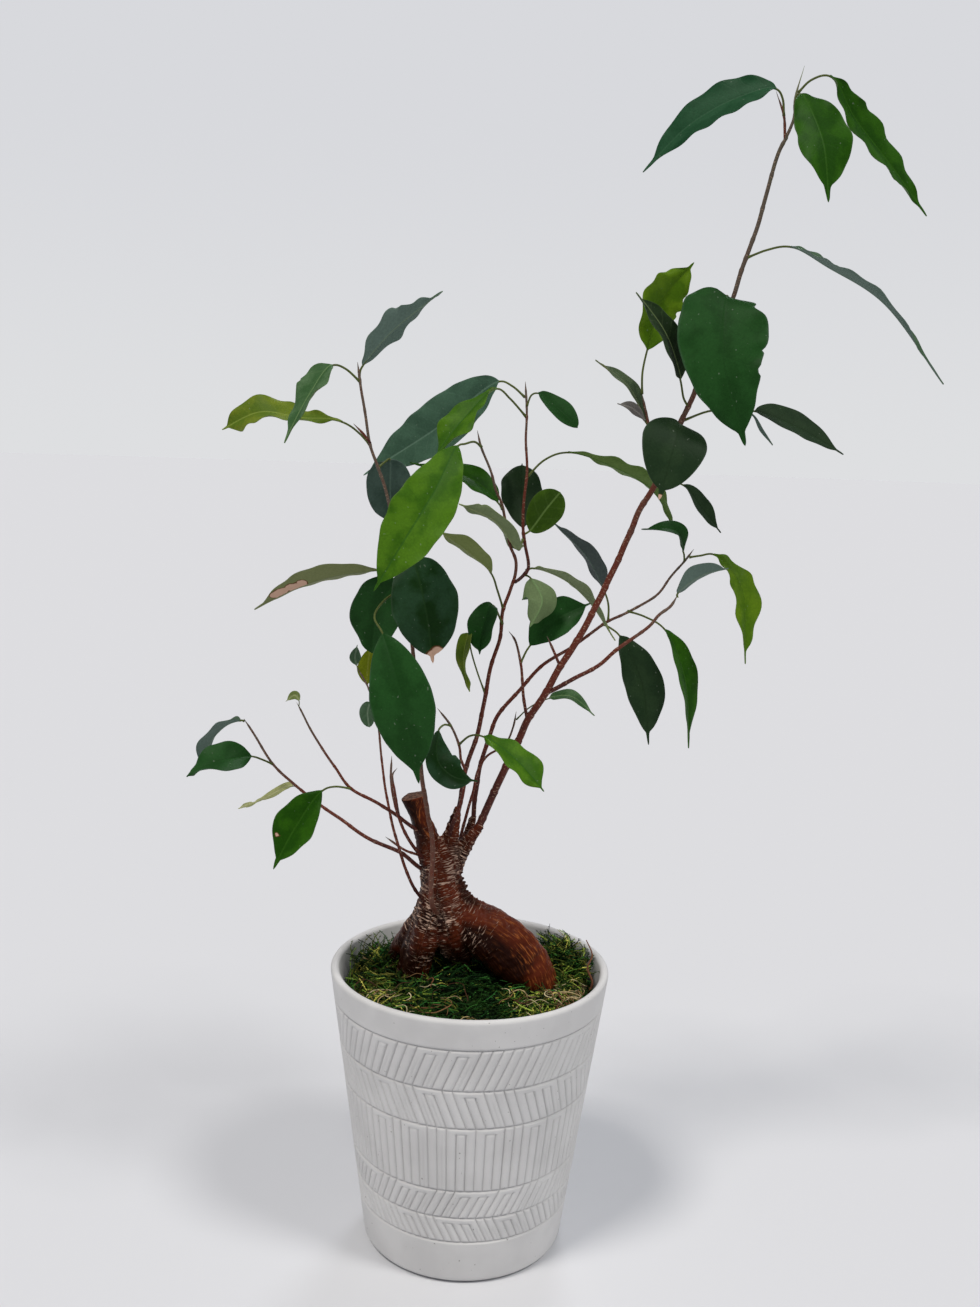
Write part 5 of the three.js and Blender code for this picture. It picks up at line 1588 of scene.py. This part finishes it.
class RootChoices(bpy.types.PropertyGroup):
    """Fineness, relief and colours of the swollen root."""
    cell: length_choice("Cell", "Size of the cells of the root's skin", 0.55)
    relief: number_choice("Relief", "Strength of the lumps and cross ridges", 1.0)
    bark_colour: colour_choice("Bark", "Main colour of the bark", "#5c2411")
    # The dark bark colour is also the colour of the painted shade.
    shade_and_patch_colour: colour_choice("Dark bark", "Colour of the darker patches", "#1f0803")
    warm_colour: colour_choice("Streaks", "Colour of the streaks along the smooth bark", "#a8612f")
    ridge_colour: colour_choice("Ridges", "Colour of the corky cross ridges", "#d6b49e")


class LeafChoices(bpy.types.PropertyGroup):
    """Sizes and finish of the leaves."""
    thickness: length_choice("Thickness", "Thickness of a blade", 0.55)
    vein_spacing: length_choice("Vein spacing", "Distance between side veins along the midrib", 3.2)
    roughness: number_choice("Roughness", "Roughness of the upper face", 0.46, max=1.0, subtype="FACTOR")
    dead_colour: colour_choice("Dry patches", "Colour of dried leaf tissue", "#c9a58f")


class StemChoices(bpy.types.PropertyGroup):
    """Colours of the stems from their soft tips to their old feet."""
    soft_colour: colour_choice("Soft tips", "Colour of the youngest bark", "#7b8458")
    grey_colour: colour_choice("Young bark", "Colour of bark of the second year", "#5f5448")
    red_colour: colour_choice("Older bark", "Colour of red-brown bark", "#632c1d")
    old_colour: colour_choice("Oldest bark", "Colour of the oldest bark", "#3a1a18")


class StageChoices(bpy.types.PropertyGroup):
    """Floor and light of the studio."""
    floor_colour: colour_choice("Floor", "Colour of the floor", "#d6d7da")
    wall_colour: colour_choice("Backdrop", "Colour of the backdrop", "#d8d9dd")
    floor_glow: colour_choice("Low backdrop", "Colour of the backdrop near the floor", "#dedfe1")
    fill_colour: colour_choice("Fill colour", "Colour of the even light", "#f4f7ff")
    fill: number_choice("Fill", "Strength of the even light", 0.3)
    left: number_choice("Left lamp", "Strength of the lamp at the front left", 1.5)
    right: number_choice("Right lamp", "Strength of the lamp at the front right", 1.1)
    back: number_choice("Back lamp", "Strength of the lamp behind", 0.5)
    softness: number_choice("Softness", "Width of each lamp as seen from the object", float(np.radians(14)),
                            subtype="ANGLE", unit="ROTATION")


# Operators

class FICUS_OT_add_pot(bpy.types.Operator):
    """Adds the stoneware pot with its grooved bands"""
    bl_idname = "ficus.add_pot"
    bl_label = "Add pot"

    def execute(self, context):
        settle(make_pot(context.scene.ficus_pot), "pot")
        return {"FINISHED"}


class FICUS_OT_dress_soil(bpy.types.Operator):
    """Gives the soil in the pot its finish"""
    bl_idname = "ficus.dress_soil"
    bl_label = "Dress soil"

    def execute(self, context):
        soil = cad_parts["soil"]
        finish = potting_soil(context.scene.ficus_moss)
        if not soil.material_slots:
            raise RuntimeError("the soil has no material slot")
        for slot in soil.material_slots:
            slot.material = finish
        return {"FINISHED"}


class FICUS_OT_add_moss(bpy.types.Operator):
    """Adds the moss mat, its sprigs and the dry strands on it"""
    bl_idname = "ficus.add_moss"
    bl_label = "Add moss"

    def execute(self, context):
        shape = context.scene.ficus_moss
        pieces = [make_moss_mat(shape)]
        pieces += [make_sprigs(name, shape, *crop) for name, crop in CROPS.items()]
        pieces.append(make_strands(shape))
        for piece in pieces:
            settle(piece, "moss")
        return {"FINISHED"}


class FICUS_OT_add_root(bpy.types.Operator):
    """Adds the swollen root with its neck, legs and cut stub"""
    bl_idname = "ficus.add_root"
    bl_label = "Add root"

    def execute(self, context):
        settle(make_root(context.scene.ficus_root), "trunk")
        return {"FINISHED"}


class FICUS_OT_add_shoots(bpy.types.Operator):
    """Adds the leafy shoots and the dry twigs"""
    bl_idname = "ficus.add_shoots"
    bl_label = "Add shoots"

    def execute(self, context):
        for name in SHOOTS:
            piece = make_shoot(name, context.scene.ficus_leaf, context.scene.ficus_stem)
            settle(piece, name)
        return {"FINISHED"}


class FICUS_OT_set_stage(bpy.types.Operator):
    """Adds the floor, the lamps and the camera"""
    bl_idname = "ficus.set_stage"
    bl_label = "Set stage"

    def execute(self, context):
        shape = context.scene.ficus_stage
        make_floor(shape)
        add_surround(shape)
        for side, (place, colour) in LAMPS.items():
            add_lamp(side + "_lamp", place, getattr(shape, side), shape.softness, colour)
        add_camera()
        return {"FINISHED"}


class FICUS_PT_sidebar(bpy.types.Panel):
    """Lists the pieces and what can be changed on them"""
    bl_idname = "FICUS_PT_sidebar"
    bl_label = "Potted Ginseng Ficus"
    bl_space_type = "VIEW_3D"
    bl_region_type = "UI"
    bl_category = "Ficus"

    def draw(self, context):
        for choices, operators in SIDEBAR:
            box = self.layout.box()
            group = getattr(context.scene, choices)
            for name in group.__annotations__:
                box.prop(group, name)
            for operator in operators:
                box.operator(operator)


SIDEBAR = [
    ("ficus_pot", ["ficus.add_pot"]),
    ("ficus_moss", ["ficus.dress_soil", "ficus.add_moss"]),
    ("ficus_root", ["ficus.add_root"]),
    ("ficus_leaf", ["ficus.add_shoots"]),
    ("ficus_stem", []),
    ("ficus_stage", ["ficus.set_stage"]),
]

CHOICES = {
    "ficus_pot": PotChoices,
    "ficus_moss": MossChoices,
    "ficus_root": RootChoices,
    "ficus_leaf": LeafChoices,
    "ficus_stem": StemChoices,
    "ficus_stage": StageChoices,
}

CLASSES = [*CHOICES.values(), FICUS_OT_add_pot, FICUS_OT_dress_soil, FICUS_OT_add_moss, FICUS_OT_add_root,
           FICUS_OT_add_shoots, FICUS_OT_set_stage, FICUS_PT_sidebar]


def register():
    """Adds the classes and hangs each group of choices on the scene."""
    for one in CLASSES:
        bpy.utils.register_class(one)
    for name, group in CHOICES.items():
        setattr(bpy.types.Scene, name, PointerProperty(type=group))


def unregister():
    """Takes the choices and the classes away again."""
    for name in CHOICES:
        delattr(bpy.types.Scene, name)
    for one in reversed(CLASSES):
        bpy.utils.unregister_class(one)


def main():
    """Registers the add-on and makes every piece in order."""
    register()
    bpy.ops.ficus.add_pot()
    bpy.ops.ficus.dress_soil()
    bpy.ops.ficus.add_moss()
    bpy.ops.ficus.add_root()
    bpy.ops.ficus.add_shoots()
    bpy.ops.ficus.set_stage()


if __name__ == "__main__":
    main()
